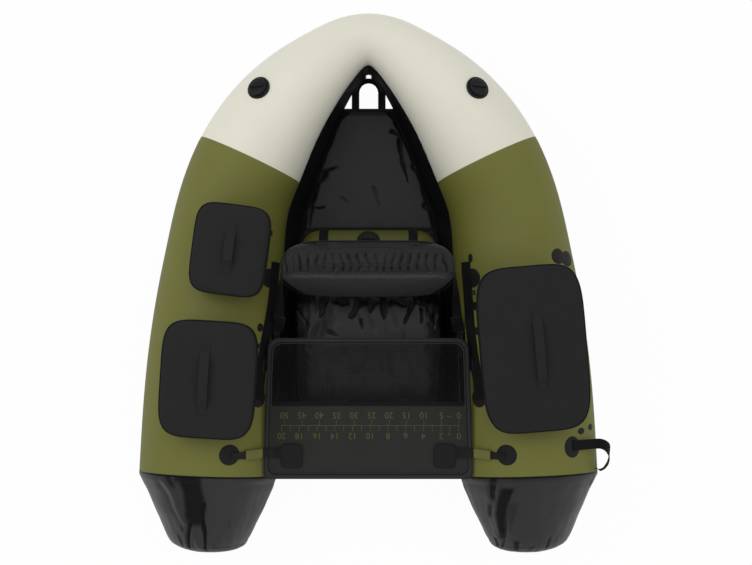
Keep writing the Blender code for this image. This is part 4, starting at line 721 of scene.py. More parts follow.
def make_bay():
    """The black side walls of the bay with their welded hems, the deck and the floor under the seat."""
    for side, word in SIDES:
        rows, sill = [], []
        for i in range(181):
            s = BAY_LAST * i / 180
            top, foot, outboard = bay_rail(s)
            hem = HEM_ANGLE * fade(-top.y, 0.030, 0.150)
            row = [skin(s, math.pi - hem * (1 - k / 5), CLOTH_STAND) for k in range(5)]
            for k in range(17):
                p = top.lerp(foot, k / 16)
                slack = ridge(Vector((p.x * 7 + side, p.y * 16, p.z * 8)), side) * math.sin(math.pi * k / 16)
                p = p - outboard * (CLOTH_STAND + max(0, 0.006 * slack))
                p.x = max(p.x, 0)
                row.append(p)
            rows.append(row)
            # The walls' lower hem at the bow, in cloth lighter than the walls: a painted highlight of the
            # hem's shine
            if i > 3 and foot.y > 0.580:
                sill.append(foot - outboard * 0.0045 + UP * 0.0035)
        mesh_piece(f"{word}_bay_cloth", rows, WALL_CLOTH, "coated_fabric", wrap=False, side=side,
                   replaces=(f"{word}_bay_wall",))
        webbing(f"{word}_bow_sill_painted_highlight", sill, [UP, UP], 0.0070, side=side, steps=30, material=BINDING_CLOTH,
                slot="black_fabric")
    low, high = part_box("cargo_deck")
    floor_cloth("deck_cloth", "cargo_deck", high[1], low[1] - 0.022, 0.0034, deck_folds)
    half = floor_half(high[1])
    tape = [Vector((half * share, high[1] - 0.0050, BAY_FLOOR + 0.0042))
            for share in (-0.97, -0.5, 0, 0.5, 0.97)]
    webbing("deck_front_tape", tape, [UP, UP], 0.0095, material=WELT, slot="black_fabric")
    low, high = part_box("seat_floor")
    floor_cloth("seat_floor_cloth", "seat_floor", high[1], low[1] + 0.001, 0.0028, seat_floor_folds)


def make_cross_tube():
    """The inflated cross tube with its puckered ends, and the two straps that hold it down."""
    low, high = (Vector(c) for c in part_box("cross_tube"))
    centre, half, radius, strap_x = (low + high) / 2, (high.x - low.x) / 2, 0.070, 0.1315
    rows = []
    for i in range(61):
        share = math.sin(math.pi / 2 * (i / 30 - 1))
        size = 0.001
        if abs(share) < 0.9995:
            size = radius * (1 - max(0, (abs(share) - 0.62) / 0.38) ** 2.6) ** 0.5
        row = []
        for k, (c, s) in enumerate(turns(72)):
            pucker = 0.0022 * math.sin(FULL * k / 72 * 11 + 2 * share) * fade(abs(share), 0.7, 0.93)
            out = size * (1 + pucker / radius)
            row.append(centre + Vector((half * share, c * out, s * out)))
        rows.append(row)
    mesh_piece("cross_tube_skin", rows, SHADED_CROSS_OLIVE, "olive_pvc", replaces=("cross_tube",), ends=(True, True))
    foot = Vector((strap_x, centre.y + radius + 0.0005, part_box("right_cross_strap")[0][2] + 0.002))
    angles = [math.radians(150) * step / 12 for step in range(13)]
    outs = [Vector((0, math.cos(a), math.sin(a))) for a in angles]
    points = [foot, *(centre + Vector((strap_x, 0, 0)) + out * (radius + 0.0006) for out in outs)]
    for side, word in SIDES:
        webbing(f"{word}_cross_webbing", points, [Vector((0, 1, 0)), *outs], WEB_WIDTH, side=side,
                replaces=(f"{word}_cross_strap",), steps=50)


# Seat and backrest

SETTLE_FRAMES = 20


def inflate(obj, voxel, pressure, cap):
    """Remeshes a closed form, lets cloth under pressure settle on it, and keeps each point within the cap."""
    remesh = obj.modifiers.new("Remesh", "REMESH")
    remesh.mode = "VOXEL"
    remesh.voxel_size = voxel
    bake(obj)
    rest = [v.co.copy() for v in obj.data.vertices]
    cloth = obj.modifiers.new("Cloth", "CLOTH")
    cloth.settings.use_pressure = True
    cloth.settings.uniform_pressure_force = pressure
    cloth.settings.effector_weights.gravity = 0
    cloth.settings.tension_stiffness = 25
    cloth.settings.bending_stiffness = 0.4
    cloth.settings.quality = 5
    cloth.point_cache.frame_start, cloth.point_cache.frame_end = 1, SETTLE_FRAMES
    for step in range(1, SETTLE_FRAMES + 1):
        bpy.context.scene.frame_set(step)
    bake(obj)
    bpy.context.scene.frame_set(1)
    for v, start in zip(obj.data.vertices, rest):
        moved = v.co - start
        if moved.length > cap:
            v.co = start + moved * (cap / moved.length)


def bake(obj):
    """Replaces the object's mesh by its evaluated one and drops the modifiers."""
    graph = bpy.context.evaluated_depsgraph_get()
    made = bpy.data.meshes.new_from_object(obj.evaluated_get(graph))
    obj.modifiers.clear()
    obj.data = made


def subdivide(obj):
    level = obj.modifiers.new("Fine", "SUBSURF")
    level.levels = level.render_levels = 1
    bake(obj)
    obj.data.shade_smooth()


# Where the seat's cover is drawn down beside the backrest, sunk and painted with shade
SEAT_PITS = pit_table(
    (-210, -75, -185, -119, 4.7, 0.9), (-204, -46, -174, -57, 8.8, 0.9), (-136, -46, -136, -93, 11.2, 1),
    (-124, -51, -142, -101, 7, 0.9), (-92, -48, -63, -60, 13.2, 1), (-25, -48, -51, -103, 11.8, 1),
    (-7, -48, 31, -57, 14.7, 1), (11, -60, 6, -87, 10, 0.9), (46, -48, 46, -101, 13.5, 1),
    (66, -51, 111, -63, 12.3, 1), (137, -46, 109, -116, 7, 1), (156, -81, 156, -119, 4.4, 0.95),
    (184, -60, 175, -87, 5.9, 0.8), (199, -95, 194, -134, 5.9, 0.85), (-23, -110, -17, -134, 3.8, 0.8),
    (-116, -145, -92, -156, 4.7, 0.6), (128, -51, 175, -69, 5.3, 0.7),
)
# The seat's section, from its foot to its crown: share of the half width, and share of the height
SEAT_PROFILE = (
    (0.5, 0.0), (0.86, 0.0), (0.955, 0.07), (0.99, 0.30), (0.995, 0.60), (0.972, 0.80), (0.88, 0.91),
    (0.55, 0.95), (0.02, 0.97),
)
# How far the cover's rear bulges past the solid
SEAT_BULGE = 0.016


def make_seat():
    """The inflated seat: nylon drawn tight at its corners, with deep folds that spread from the backrest."""
    low, high = (Vector(c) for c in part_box("seat_cushion"))
    low.y -= SEAT_BULGE
    middle, half, tall = (low + high) / 2, (high - low) / 2, high.z - low.z
    outline = squircle(half.x, half.y, 6.5)
    rows = [[Vector((x * scale, y * scale + middle.y, low.z + tall * height)) for x, y in outline]
            for scale, height in SEAT_PROFILE]
    seat = mesh_piece("seat_cover", rows, SEAT_CLOTH, "coated_fabric", None, replaces=("seat_cushion",),
                      ends=(True, True))
    inflate(seat, 0.005, 4.0, 0.006)
    subdivide(seat)

    def folds(p, normal):
        rear = fade(p.y, -0.26, -0.03)
        swirl = Vector((p.x * (10 - 9 * fade(-p.y, 0.02, 0.30)), p.y * 3.2, 0.4))
        bend = noise.noise(swirl * 1.3) * 0.5
        deep = ridge(Vector((p.x * 15 + bend + 2.4 * p.y * math.copysign(1, p.x), p.y * 6 + bend, 1.0)), 2.3)
        fine = ridge(Vector((p.x * 40 + 3 * bend, p.y * 16, 3.0)), 5.1)
        top = fade(normal.z, -0.2, 0.5)
        pit = in_pits(p.x, p.y, SEAT_PITS) * top
        side = 1 - fade(normal.z, 0.15, 0.5)
        # Painted shade: a dark strip along the backrest, dark valleys between the folds, the pits and the
        # seat's steep sides
        shade = 0.55 * (1 - fade(-p.y, 0.050, 0.085)) + 0.5 * rear * (1 - fade(deep, 0.05, 0.45))
        shade += 0.25 * (1 - fade(fine, 0.1, 0.5))
        height = max(-0.1, deep) * (0.0022 + 0.0040 * rear) + fine * (0.0006 + 0.0012 * rear)
        height -= 0.0015 + 0.0035 * rear
        return height * top - 0.009 * pit, max(0.93 * pit, 0.9 * side, shade * top)

    displace(seat, folds)
    for v in seat.data.vertices:
        v.co = [min(h + 0.002, max(l, c)) for c, l, h in zip(v.co, low, high)]
    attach(seat, "hull")


BACK_FOOT = Vector((0, -0.041, 0.2348))
BACK_LEAN = math.radians(12)
BACKWARDS = Vector((0, math.cos(BACK_LEAN), -math.sin(BACK_LEAN)))
UPWARDS = Vector((0, math.sin(BACK_LEAN), math.cos(BACK_LEAN)))
BACK_HEIGHT, BACK_THICKNESS, BACK_TOP_THICKNESS = 0.310, 0.062, 0.088
BACK_MIDDLE = BACK_FOOT + UPWARDS * (BACK_HEIGHT / 2)
FRONT_CROWN, REAR_CROWN = 0.010, 0.011


def back_half(share):
    """Half the backrest's width at a share of its height."""
    return 0.206 + 0.031 * fade(share, 0, 0.85)


def back_outline(count=140):
    """The backrest's outline: widest near its top, with tight corners there and large ones at the seat."""
    points = []
    for k, (high, low) in enumerate(zip(squircle(1, 1, 7, count), squircle(1, 1, 3.8, count))):
        x, y = high if k < count / 2 else low
        points.append((x * back_half((y + 1) / 2), y * BACK_HEIGHT / 2))
    return points


def back_taper(share):
    """How the backrest narrows towards its rear: its rear corners are round."""
    return 1 - 0.20 * (1 - math.sqrt(1 - max(0, share - 0.5) ** 2 / 0.25))


def back_point(x, y, depth):
    return BACK_MIDDLE + Vector((x, 0, 0)) + UPWARDS * y + BACKWARDS * depth


def back_depth(y):
    """How thick the backrest is at this height: thicker at the top than at the seat."""
    return BACK_THICKNESS + (BACK_TOP_THICKNESS - BACK_THICKNESS) * min(1, max(0, y / BACK_HEIGHT + 0.5))


def make_backrest():
    """The backrest: crowned front and rear panels, piped edges, and a gathered band between them."""
    outline = back_outline()
    scales = (0.02, 0.2, 0.4, 0.6, 0.78, 0.9, 0.97)
    rows = [[back_point(x * scale, y * scale, -FRONT_CROWN * (1 - scale**2)) for x, y in outline]
            for scale in scales]
    for i in range(25):
        t = i / 24
        swell = 1 + 0.008 * math.sin(math.pi * t)
        rows.append([back_point(x * swell * back_taper(t), y * swell, back_depth(y) * t) for x, y in outline])
    for scale in reversed(scales):
        crown = REAR_CROWN * (1 - scale**2)
        rows.append([back_point(x * scale * back_taper(1), y * scale, back_depth(y * scale) + crown)
                     for x, y in outline])
    cover = mesh_piece("backrest_skin", rows, LIT_BACK_CLOTH, "coated_fabric", None, ends=(True, True),
                       replaces=("backrest_cover", "backrest_bladder"))
    inflate(cover, 0.004, 3.0, 0.004)
    subdivide(cover)

    def gathers(p, normal):
        local = p - BACK_MIDDLE
        depth, up = local.dot(BACKWARDS), local.dot(UPWARDS)
        share = depth / back_depth(up)
        side_on = 1 - fade(abs(normal.dot(BACKWARDS)), 0.45, 0.8)
        band = fade(share, 0.02, 0.12) * (1 - fade(share, 0.60, 0.70)) * side_on
        across = local.x if abs(local.x) < 0.20 else math.copysign(0.20, local.x) + up
        lean = across * 44 + 0.45 * noise.noise(Vector((across * 16, share * 2.4, 2.0)))
        pleats = abs(math.sin(math.pi * lean))
        fullness = 0.7 + 0.6 * noise.noise(Vector((across * 21, 3.3, share * 4)))
        small = ridge(Vector((local.x * 48, up * 48, depth * 20)), 1.3) * 0.0010
        # Painted shade: the pleats' valleys are darkened, and so are the backrest's top and sides; its front
        # panel keeps the lighter base colour
        valley = (1 - fade(pleats, 0.05, 0.55)) * fullness
        above = fade(share, -0.05, 0.03) * side_on * 0.62
        height = band * ((pleats - 0.75) * 0.0060 * fullness + small) - 0.0008 * side_on
        return height, above + 0.32 * band * valley

    displace(cover, gathers)
    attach(cover, "backrest")
    for name, share, size, material in (("front", 0.0, 0.0012, GRIP_WEB), ("rear", 1.0, 0.0030, WELT)):
        path = [back_point(x * 1.004 * back_taper(share), y * 1.004, back_depth(y) * share)
                for x, y in outline]
        cord_loop(f"backrest_{name}_piping", path, size, material, "coated_fabric", "backrest")


def make_back_straps():
    """The straps that stay the backrest, from its sides to the ladder locks."""
    lock, share = Vector((0.2585, -0.118, 0.288)), 0.68
    top = BACK_FOOT + Vector((back_half(share) + 0.002, 0, 0)) + UPWARDS * (BACK_HEIGHT * share)
    top += BACKWARDS * (back_depth(BACK_HEIGHT * (share - 0.5)) / 2)
    down = (lock - top).normalized()
    lock_up = (UP - down * down.z).normalized()
    end = lock - down * 0.027
    for side, word in SIDES:
        strap = webbing(f"{word}_back_webbing", [top, top.lerp(end, 0.35), top.lerp(end, 0.7), end],
                        [Vector((1, 0, 0)), lock_up], WEB_WIDTH, None, (f"{word}_back_strap",), side)
        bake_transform(strap)


# Side straps

# The straps' width, and where they run as x, y in mm seen from above. The two sides hang differently
SIDE_WEB_WIDTH = 0.0300
STRAP_XY = {
    "right": ((286.4, 60), (288.5, 24.7), (293, -42.1), (298.5, -128.9), (307.5, -215), (317, -280),
              (320.5, -333)),
    "left": ((274.9, 60), (277.5, 22), (281.9, -36.5), (288.6, -91.7), (299, -160.5), (306.5, -215),
             (313, -280.2), (315.2, -333)),
}
# The round patches at their ends, and the small tabs beside them with wire rings: x on the starboard side and
# y in metres
STRAP_PATCHES = {
    "right": ((0.3016, 0.0130), (0.3173, -0.3307)),
    "left": ((0.2890, 0.0131), (0.3144, -0.3311)),
}
STRAP_PATCH_RADIUS = 0.0282
RING_TABS = {"right": ((0.3074, -0.0676), (0.3150, -0.1391)), "left": ((0.2930, 0.1420), (0.3117, -0.1293))}
RING_HALF_WIDTH, RING_HALF_LENGTH, RING_WIRE = 0.010, 0.008, 0.0015


def make_side_straps():
    """The webbing on the inner flanks, with round anchor patches and wire rings; the buckles stay the CAD's
    own.
    """
    for side, word in SIDES:
        places = smooth_path([(x * MM, y * MM, 0) for x, y in STRAP_XY[word]], 24)
        ups = [(skin_up(*find(p.x, p.y)) + UP * 0.55).normalized() for p in places]
        points = [on_skin(p.x, p.y, 0.0012) + up * 0.005 for p, up in zip(places, ups)]
        webbing(f"{word}_side_webbing", points, ups, SIDE_WEB_WIDTH, "hull", (f"{word}_side_strap",), side,
                steps=72)
        for end, (x, y) in zip(("front", "rear"), STRAP_PATCHES[word]):
            skin_patch(f"{word}_side_{end}_patch", x, y, STRAP_PATCH_RADIUS, STRAP_PATCH_RADIUS, side)
        skin_patch(f"{word}_strap_tab", 0.2965, 0.071, 0.0085, 0.0125, side, power=2.4)
        for tab, (x, y) in enumerate(RING_TABS[word]):
            skin_patch(f"{word}_ring_tab_{tab}", x, y, 0.0080, 0.0125, side, power=2.6)
            s, angle = find(x, y)
            centre, up = skin(s, angle, 0.0040), skin_up(s, angle)
            across = up.cross(Vector((0, 1, 0))).normalized()
            wire = [centre + across * (c * RING_HALF_WIDTH) + up.cross(across) * (s * RING_HALF_LENGTH)
                    for c, s in turns(28)]
            cord_loop(f"{word}_tab_ring_{tab}", wire, RING_WIRE, BLACK, "black_plastic", side=side)


# Apron

APRON_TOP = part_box("apron_panel")[1][2]
APRON_FRONT, APRON_REAR, NET_REAR = -0.159, -0.5635, -0.348
APRON_HALF_FRONT, APRON_HALF_REAR = 0.2882, 0.3010
# Middle of the patches on the tubes that hold the apron's plates
APRON_ANCHOR = (0.389, -0.484)
# The binding's section round the edge: metres inboard, and height. It has two sewn grooves
BINDING_PROFILE = (
    (0.0, 0.0004), (0.0002, 0.0016), (0.0015, 0.0027), (0.004, 0.0030), (0.0122, 0.0030), (0.0132, 0.0018),
    (0.0142, 0.0030), (0.0162, 0.0022), (0.0172, 0.0008), (0.0168, 0.0), (0.0006, 0.0),
)


def apron_half(y):
    share = (y - APRON_FRONT) / (APRON_REAR - APRON_FRONT)
    return APRON_HALF_FRONT + (APRON_HALF_REAR - APRON_HALF_FRONT) * share


def apron_outline(inset, steps=10):
    """The apron's edge drawn in by the inset, as points with corners that are rounder further in."""
    points = []
    for sx, y, turn in ((1, APRON_REAR, -0.25), (1, APRON_FRONT, 0.0), (-1, APRON_FRONT, 0.25),
                        (-1, APRON_REAR, 0.5)):
        rear = y == APRON_REAR
        radius = 0.016 + 0.6 * inset if rear else 0.034 - 0.5 * inset
        centre_y = y + (1 if rear else -1) * (inset + radius)
        centre_x = sx * (apron_half(centre_y) - inset - radius)
        for k in range(steps + 1):
            angle = FULL * (turn + 0.25 * k / steps)
            points.append((centre_x + math.cos(angle) * radius, centre_y + math.sin(angle) * radius))
    return points


def apron_sag(x, y):
    """How far the cloth hangs and ripples between its bound edges."""
    inside = fade(1 - abs(x) / apron_half(y), 0.04, 0.25)
    inside *= fade(y - APRON_REAR, 0.02, 0.08) * fade(APRON_FRONT - y, 0.02, 0.08)
    return -inside * (0.0015 + 0.0012 * noise.noise(Vector((x * 9, y * 9, 2))))


def on_apron(x, y, lift):
    return Vector((x, y, APRON_TOP + lift + apron_sag(x, y)))


def make_apron():
    """The apron: a smooth panel with a printed ruler, a net ahead of it, their binding, and two patches."""
    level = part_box("apron_binding")[0][2]
    rows = [[Vector((x, y, level + h)) for x, y in apron_outline(inset)] for inset, h in BINDING_PROFILE]
    binding = mesh_piece("apron_edge_tape", rows, BINDING_CLOTH, "black_fabric", replaces=("apron_binding",),
                         ring=True)
    for line, inset, thick in (("outer", 0.0026, 0.0006), ("inner", 0.0132, 0.0014)):
        path = [Vector((x, y, level + 0.0030)) for x, y in apron_outline(inset)]
        cord_loop(f"apron_{line}_stitch", path, thick, WELT, "black_fabric", sides=5)
    rows = []
    rear, corner = APRON_REAR + 0.012, 0.020
    for i in range(41):
        y = NET_REAR + (rear - NET_REAR) * i / 40
        cut = max(0, corner - (y - rear))
        half = apron_half(y) - 0.012 - (corner - math.sqrt(max(0, corner**2 - cut**2)))
        rows.append([on_apron(x, y, -0.0004) for x in np.linspace(-half, half, 81)])
    panel = mesh_piece("apron_cloth", rows, PANEL_CLOTH, "black_fabric", wrap=False,
                       replaces=("apron_panel",))
    make_net()
    make_ruler()
    seam = [on_apron(x, NET_REAR, 0.0002) for x in np.linspace(-0.274, 0.274, 60)]
    webbing("apron_net_seam", seam, [UP, UP], 0.0125, thickness=0.0008, steps=59, material=WELT,
            slot="black_fabric")
    x, y = APRON_ANCHOR
    for side, word in SIDES:
        skin_patch(f"{word}_apron_anchor", x, y, 0.0300, 0.0295, side, replaces=(f"{word}_apron_patch",))


def make_net():
    """The stripping net: square knitted meshes at their real pitch, sagging with the apron."""
    pitch, cord = 0.0058, 0.0017
    rear, front = NET_REAR + 0.001, APRON_FRONT - 0.010
    columns, lines = int(2 * apron_half(front) / pitch), int((front - rear) / pitch)
    work = bmesh.new()
    bmesh.ops.create_grid(work, x_segments=columns, y_segments=lines, size=1)
    for v in work.verts:
        y = (rear + front) / 2 + v.co.y * (front - rear) / 2
        x = v.co.x * (apron_half(y) - 0.010)
        v.co = on_apron(x, y, -0.0006)
    cells = list(work.faces)
    bmesh.ops.inset_individual(work, faces=cells, thickness=cord / 2)
    bmesh.ops.delete(work, geom=cells, context="FACES")
    mesh = bpy.data.meshes.new("apron_mesh")
    work.to_mesh(mesh)
    work.free()
    return finish_piece("apron_mesh", mesh, NET_CORD, replaces=("apron_net",))


CENTIMETRE, INCH = 0.01, 0.0254
TICK_WIDTH, TICK_LENGTH, RULE_WIDTH = 0.0013, 0.0170, 0.0014
NUMERAL_SIZE, UNIT_SIZE = 0.0255, 0.0115
# The photo's pixel at the ruler's zero, on the line between the two scales
ZERO_PIXEL = (458.8, 425.6)


def on_apron_pixel(px, py):
    """x and y on the apron of a pixel of the photo."""
    metres = (CAMERA_HEIGHT - APRON_TOP) / FOCAL_PIXELS
    return (px - MIDDLE_PIXEL[0]) * metres + CAMERA_X, (MIDDLE_PIXEL[1] - py) * metres


def make_ruler():
    """The printed ruler: centimetres towards the net, inches towards the stern, read from the seat."""
    zero, rule = on_apron_pixel(*ZERO_PIXEL)
    work = bmesh.new()

    def mark(x, y, wide, tall):
        verts = []
        for dx, dy in ((-1, -1), (1, -1), (1, 1), (-1, 1)):
            px, py = x + dx * wide / 2, y + dy * tall / 2
            verts.append(work.verts.new(on_apron(px, py, 0.0002)))
        work.faces.new(verts)

    for k in range(51):
        mark(zero - CENTIMETRE * (k + 0.5), rule, 1.01 * CENTIMETRE, RULE_WIDTH)
    for cm in range(0, 51, 5):
        mark(zero - cm * CENTIMETRE, rule + TICK_LENGTH / 2, TICK_WIDTH, TICK_LENGTH)
    for inch in range(21):
        mark(zero - inch * INCH, rule - TICK_LENGTH / 2, TICK_WIDTH, TICK_LENGTH)
    labels = [(str(cm), zero - cm * CENTIMETRE, rule + 0.0298, NUMERAL_SIZE) for cm in range(0, 51, 5)]
    labels += [(str(inch), zero - inch * INCH, rule - 0.0293, NUMERAL_SIZE) for inch in range(0, 21, 2)]
    labels += [("cm", zero - 0.027, rule + 0.0250, UNIT_SIZE), ("in", zero - 0.027, rule - 0.0240, UNIT_SIZE)]
    mesh = bpy.data.meshes.new("apron_ruler")
    for text, x, y, size in labels:
        curve = bpy.data.curves.new("numeral", "FONT")
        curve.body, curve.size, curve.align_x, curve.align_y = text, size, "CENTER", "CENTER"
        obj = bpy.data.objects.new("numeral", curve)
        bpy.context.scene.collection.objects.link(obj)
        graph = bpy.context.evaluated_depsgraph_get()
        glyph = bpy.data.meshes.new_from_object(obj.evaluated_get(graph))
        for v in glyph.vertices:
            v.co = on_apron(x - v.co.x, y - v.co.y, 0.0003)
        work.from_mesh(glyph)
        bpy.data.objects.remove(obj)
        bpy.data.meshes.remove(glyph)
    work.to_mesh(mesh)
    work.free()
    mesh.materials.append(RULER_INK)
    ruler = bpy.data.objects.new("apron_ruler", mesh)
    bpy.context.scene.collection.objects.link(ruler)
    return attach(ruler, "hull")


# Bags

# How far a bag's rim stands over the tube, how high its zip's band is and how thick its lid, and how square
# its outline
BAG_RISE, ZIP_BAND, LID_HEIGHT, BAG_POWER = 0.068, 0.014, 0.0150, 5.0
# Sections in mm. The hinge cloth: out from the wall, and up from the rim. The lid: in from its edge, and up
HINGE_PROFILE = ((0.4, -10), (0.8, -6), (1.0, -2), (1.2, 0.5), (1.0, 3), (0.8, 5.5), (0.4, 8))
LID_PROFILE = ((12, 0), (1, 0), (0, 2), (0, 7), (1.2, 10.5), (4, 12.5), (10, 14))


def make_bag(name, side, y, inboard, width, length, handle, grip_out, grip_back):
    """A bag on the tube: bowed walls down to the skin, a zip round its rim, a crowned lid with a handle."""
    centre, outboard, sternward, radius = hull(station(lambda centre, _: centre.y > y))
    middle = centre - outboard * inboard
    top = centre.z + radius + BAG_RISE
    edge, lid_body = top + 0.0003, name.replace("_bag", "_lid")

    def place(u, v, z, lift=0.0):
        """A point u outboard and v ahead of the bag's middle, at height z or else on the tube's skin."""
        p = middle + outboard * u - sternward * v
        p.z = on_skin(p.x, p.y, 0).z + lift if z is None else z
        return p

    def around(inset, z=None, lift=0.0, scale=1.0):
        """The bag's outline drawn in by the inset and then scaled."""
        narrow, short = (scale * (1 - 2 * inset / size) for size in (width, length))
        outline = squircle(width / 2, length / 2, BAG_POWER, 120)
        return [place(u * narrow, v * short, z, lift) for u, v in outline]

    def cloth(part, rows, body="hull", **more):
        return mesh_piece(f"{name}_{part}", rows, BAG_CLOTH, "black_fabric", body, side=side, **more)

    shoulder, foot = around(0, top - ZIP_BAND), around(0.014, lift=0.0005)
    rows = [around(0.010, top - 0.003), around(0.0006, top - 0.0015), around(0, top - 0.003)]
    for i in range(15):
        t = i / 14
        row = []
        for p in (a.lerp(b, t) for a, b in zip(shoulder, foot)):
            out = Vector((p.x - middle.x, p.y - middle.y, 0)).normalized()
            crease = noise.noise(Vector((p.x * 22, p.y * 22, p.z * 16))) * 0.0022
            row.append(p + out * (math.sin(math.pi * t) * (0.0025 + crease)))
        rows.append(row)
    cloth("walls", [*rows, around(0.007, lift=0.0012)], replaces=(f"{name}_body",))
    cloth("lining", [around(0.013, lift=0.0035, scale=scale) for scale in (1, 0.8, 0.6, 0.4, 0.2, 0.01)],
          ends=(False, True))

    rows = []
    for out, up in HINGE_PROFILE:
        rows.append([place(width / 2 * (1 - abs(2 * v) ** BAG_POWER) ** (1 / BAG_POWER) + out * MM,
                           length * v, top + up * MM) for v in np.linspace(-0.33, 0.33, 25)])
    hinge = cloth("hinge_cloth", rows, None, wrap=False)
    fold = place(width / 2, 0, top)
    fold.x *= side
    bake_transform(hinge)

    rows = [around(inset * MM, edge + rise * MM) for inset, rise in LID_PROFILE]
    for scale in (0.86, 0.7, 0.5, 0.3, 0.1):
        rows.append([p + UP * (noise.noise(Vector((p.x * 13, p.y * 13, 3))) * 0.0005)
                     for p in around(0, edge + LID_HEIGHT - 0.0002, scale=scale)])
    cloth("cover", rows, lid_body, replaces=(f"{name}_lid",), ends=(True, True))
    for part, inset, z, thick, body in (("lid", -0.0008, edge + 0.0088, 0.0017, lid_body),
                                        ("rim", -0.0006, top - ZIP_BAND, 0.0016, "hull")):
        cord_loop(f"{name}_{part}_piping", around(inset, z), thick, WELT, "black_fabric", body, side)
    teeth = around(-0.0003, top - 0.0055)
    cord_loop(f"{name}_zip_teeth", teeth, 0.0014, BLACK, "black_plastic", side=side, sides=6)

    crown, half = edge + LID_HEIGHT, handle / 2
    rises = ((-half, 0.3), (0.016 - half, 0.3), (0.034 - half, 7.5), (-half * 0.45, 12), (0, 13),
             (half * 0.45, 12), (half - 0.034, 7.5), (half - 0.016, 0.3), (half, 0.3))
    points = [place(grip_out, v - grip_back, crown + rise * MM) for v, rise in rises]
    webbing(f"{name}_grip", points, [UP, UP], WEB_WIDTH, lid_body, (f"{name}_handle",), side, 0.0020, 64,
            GRIP_WEB)
    for end, word in ((-1, "aft"), (1, "fore")):
        box = [place(grip_out + u * 0.011, end * (half - 0.008) - grip_back + v * 0.006, crown + 0.0023)
               for u, v in ((-1, -1), (1, -1), (1, 1), (-1, 1))]
        cord_loop(f"{name}_stitch_{word}", box, 0.0005, BINDING_CLOTH, "webbing", lid_body, side, sides=5)
    paint(f"{name}_slider", BLACK)


# Name, side, y of the middle, its distance inboard of the tube's crest, width, length, handle length, and the
# handle's shift outboard and to the stern
BAGS = (
    ("left_front_bag", -1, 0.0965, 0.046, 0.2065, 0.249, 0.135, 0.001, -0.001),
    ("left_rear_bag", -1, -0.2635, 0.0275, 0.258, 0.318, 0.184, 0.010, 0.002),
    ("right_bag", 1, -0.181, 0.0045, 0.289, 0.452, 0.209, 0.015, 0.007),
)


# Stern handle and small fittings

# Middle of the patch that the loop springs from
STERN_XY = (0.5754, -0.4633)
# The free part of the loop, in mm, and the way its face looks there
STERN_LOOP = (
    ((642, -459, 338), (0.30, 0.05, 0.95)), ((664, -460, 332), (0.30, 0.10, 0.95)),
    ((681, -469, 326), (0.50, 0.15, 0.85)), ((689, -485, 318), (0.85, 0.10, 0.45)),
    ((691, -501, 311), (1.0, -0.05, 0.12)), ((689, -517, 304), (0.95, -0.30, 0.08)),
    ((682, -531, 296), (0.80, -0.60, 0.06)), ((671, -541, 287), (0.30, -0.95, 0.05)),
)


def make_stern_handle():
    """The lifting loop: webbing that leaves its patch flat, stands off the tube and turns back on edge."""
    x, y = STERN_XY
    skin_patch("stern_anchor", x, y, 0.0280, 0.0300, replaces=("stern_patch",))
    laid = [on_skin(x + away, y + 0.004, lift)
            for away, lift in ((0, 0.0034), (0.012, 0.0042), (0.026, 0.0070))]
    free = [Vector(place) * MM for place, _ in STERN_LOOP]
    ups = [skin_up(*find(x, y))] * 3 + [way for _, way in STERN_LOOP] + [(-0.50, -0.85, 0.10)]
    webbing("stern_loop", [*laid, *free, on_skin(0.6560, -0.5360, 0.0030)], ups, 0.0285,
            replaces=("stern_handle",), steps=90)


def make_fittings():
    """The small welded patches beside the bags and the loop, and the finishes of the CAD's own fittings."""
    for name, x, y, half_x, half_y, lift in (
        ("right_ring_patch_outer", 0.5760, 0.0690, 0.0330, 0.0225, 0.0),
        ("right_ring_patch_inner", 0.5450, 0.0755, 0.0265, 0.0225, 0.0005),
        ("stern_tab_fore", 0.6046, -0.4218, 0.0150, 0.0090, 0.0),
        ("stern_tab_aft", 0.6386, -0.4161, 0.0150, 0.0090, 0.0),
    ):
        skin_patch(name, x, y, half_x, half_y, lift=lift)
    for _, word in SIDES:
        for part in ("back_adjuster", "side_buckle", "apron_plate", "apron_clip", "valve_body", "valve_cap"):
            paint(f"{word}_{part}", BLACK)
        paint(f"{word}_apron_tab", WEB)
        paint(f"{word}_apron_buckle", OLIVE_FITTING)
        paint(f"{word}_seam_tape", CREAM)
    paint("cross_valve_body", BLACK)
    paint("cross_valve_cap", BLACK)
    paint("bow_baffle", CREAM)
    paint("bow_handle", WEB)


# Studio


def make_floor():
    """A plain pale floor that the camera sees as white, with a trace of the object's shadow."""
    bpy.ops.mesh.primitive_plane_add(size=40, location=(0, 0, -0.001))
    floor = bpy.context.object
    floor.name = "studio_floor"
    material, tree, shader = surface("pale_floor", "EDEDED", 0.9)
    rays = add_node(tree, "LightPath")
    white = add_node(tree, "Emission", Color=(1, 1, 1, 1), Strength=1.0)
    share = add_node(tree, "Math", {"operation": "MULTIPLY"}, i0=rays.outputs["Is Camera Ray"], i1=0.96)
    add_node(tree, "MixShader", into=tree.nodes["Material Output"].inputs["Surface"], i0=share.outputs[0],
             i1=shader.outputs[0], i2=white.outputs[0])
    floor.data.materials.append(material)


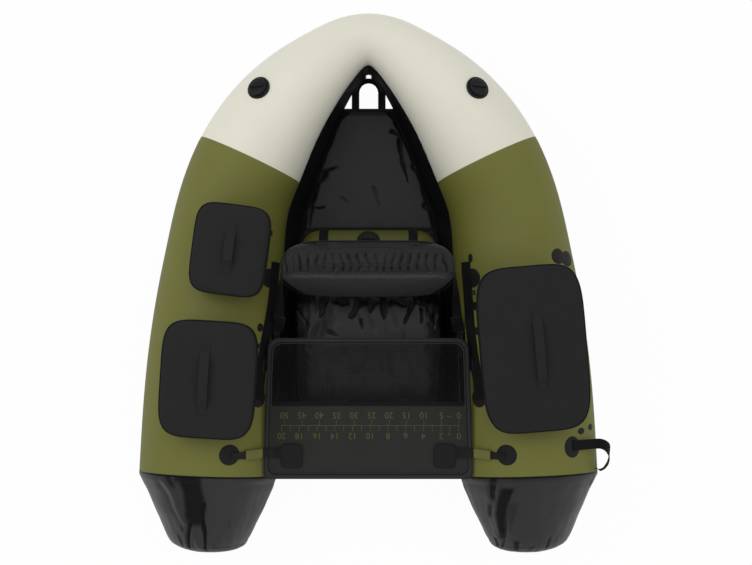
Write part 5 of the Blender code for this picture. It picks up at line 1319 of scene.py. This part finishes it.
def make_dome():
    """White sky. Glossy rays see it dimmer to port, and darker still in one broad patch high on that side."""
    world = bpy.data.worlds.new("soft_dome")
    bpy.context.scene.world = world
    world.use_nodes = True
    tree = world.node_tree
    way = add_node(tree, "TexCoord").outputs["Generated"]
    tilt = add_node(tree, "VectorMath", {"operation": "DOT_PRODUCT"}, i0=way, i1=(-0.56, 0.0, 0.83))
    patch = add_node(tree, "MapRange", {"interpolation_type": "SMOOTHSTEP"}, i0=tilt.outputs["Value"],
                     i1=0.86, i2=0.99, i3=1.0, i4=0.35)
    across = add_node(tree, "SeparateXYZ", Vector=way)
    starboard = add_node(tree, "MapRange", Value=across.outputs["X"], i1=-1.0, i2=1.0, i3=0.32, i4=0.75)
    mirrored = add_node(tree, "Math", {"operation": "MULTIPLY"}, i0=patch.outputs[0], i1=starboard.outputs[0])
    rays = add_node(tree, "LightPath").outputs
    glossy = add_node(tree, "Mix", {"data_type": "FLOAT"}, i0=rays["Is Glossy Ray"], i2=1.0,
                      i3=mirrored.outputs[0])
    light = add_node(tree, "Math", {"operation": "MULTIPLY"}, i0=glossy.outputs[0], i1=0.80)
    background = tree.nodes["Background"]
    background.inputs["Color"].default_value = (1, 1, 1, 1)
    add_node(tree, "Mix", {"data_type": "FLOAT"}, background.inputs["Strength"], i0=rays["Is Camera Ray"],
             i2=light.outputs[0], i3=0.98)


def make_studio():
    """A straight-down camera, the floor and the dome, and two softboxes that face the object."""
    scene = bpy.context.scene
    camera = bpy.data.objects.new("camera", bpy.data.cameras.new("camera"))
    camera.location = (CAMERA_X, 0, CAMERA_HEIGHT)
    camera.data.lens = 50
    camera.data.sensor_width = 36
    scene.collection.objects.link(camera)
    scene.camera = camera
    make_floor()
    make_dome()
    for name, place, size, power in (("key_softbox", (-1.9, 0.8, 2.6), 1.6, 16),
                                     ("top_softbox", (0.5, 1.4, 3.4), 1.8, 12)):
        lamp = bpy.data.lights.new(name, "AREA")
        lamp.size, lamp.energy = size, power
        obj = bpy.data.objects.new(name, lamp)
        obj.location = place
        obj.rotation_euler = (-Vector(place)).to_track_quat("-Z", "Y").to_euler()
        scene.collection.objects.link(obj)
    scene.view_settings.view_transform = "Standard"


make_studio()
make_hull()
make_bay()
make_cross_tube()
make_seat()
make_backrest()
make_back_straps()
make_side_straps()
make_apron()
for bag in BAGS:
    make_bag(*bag)
make_stern_handle()
make_fittings()
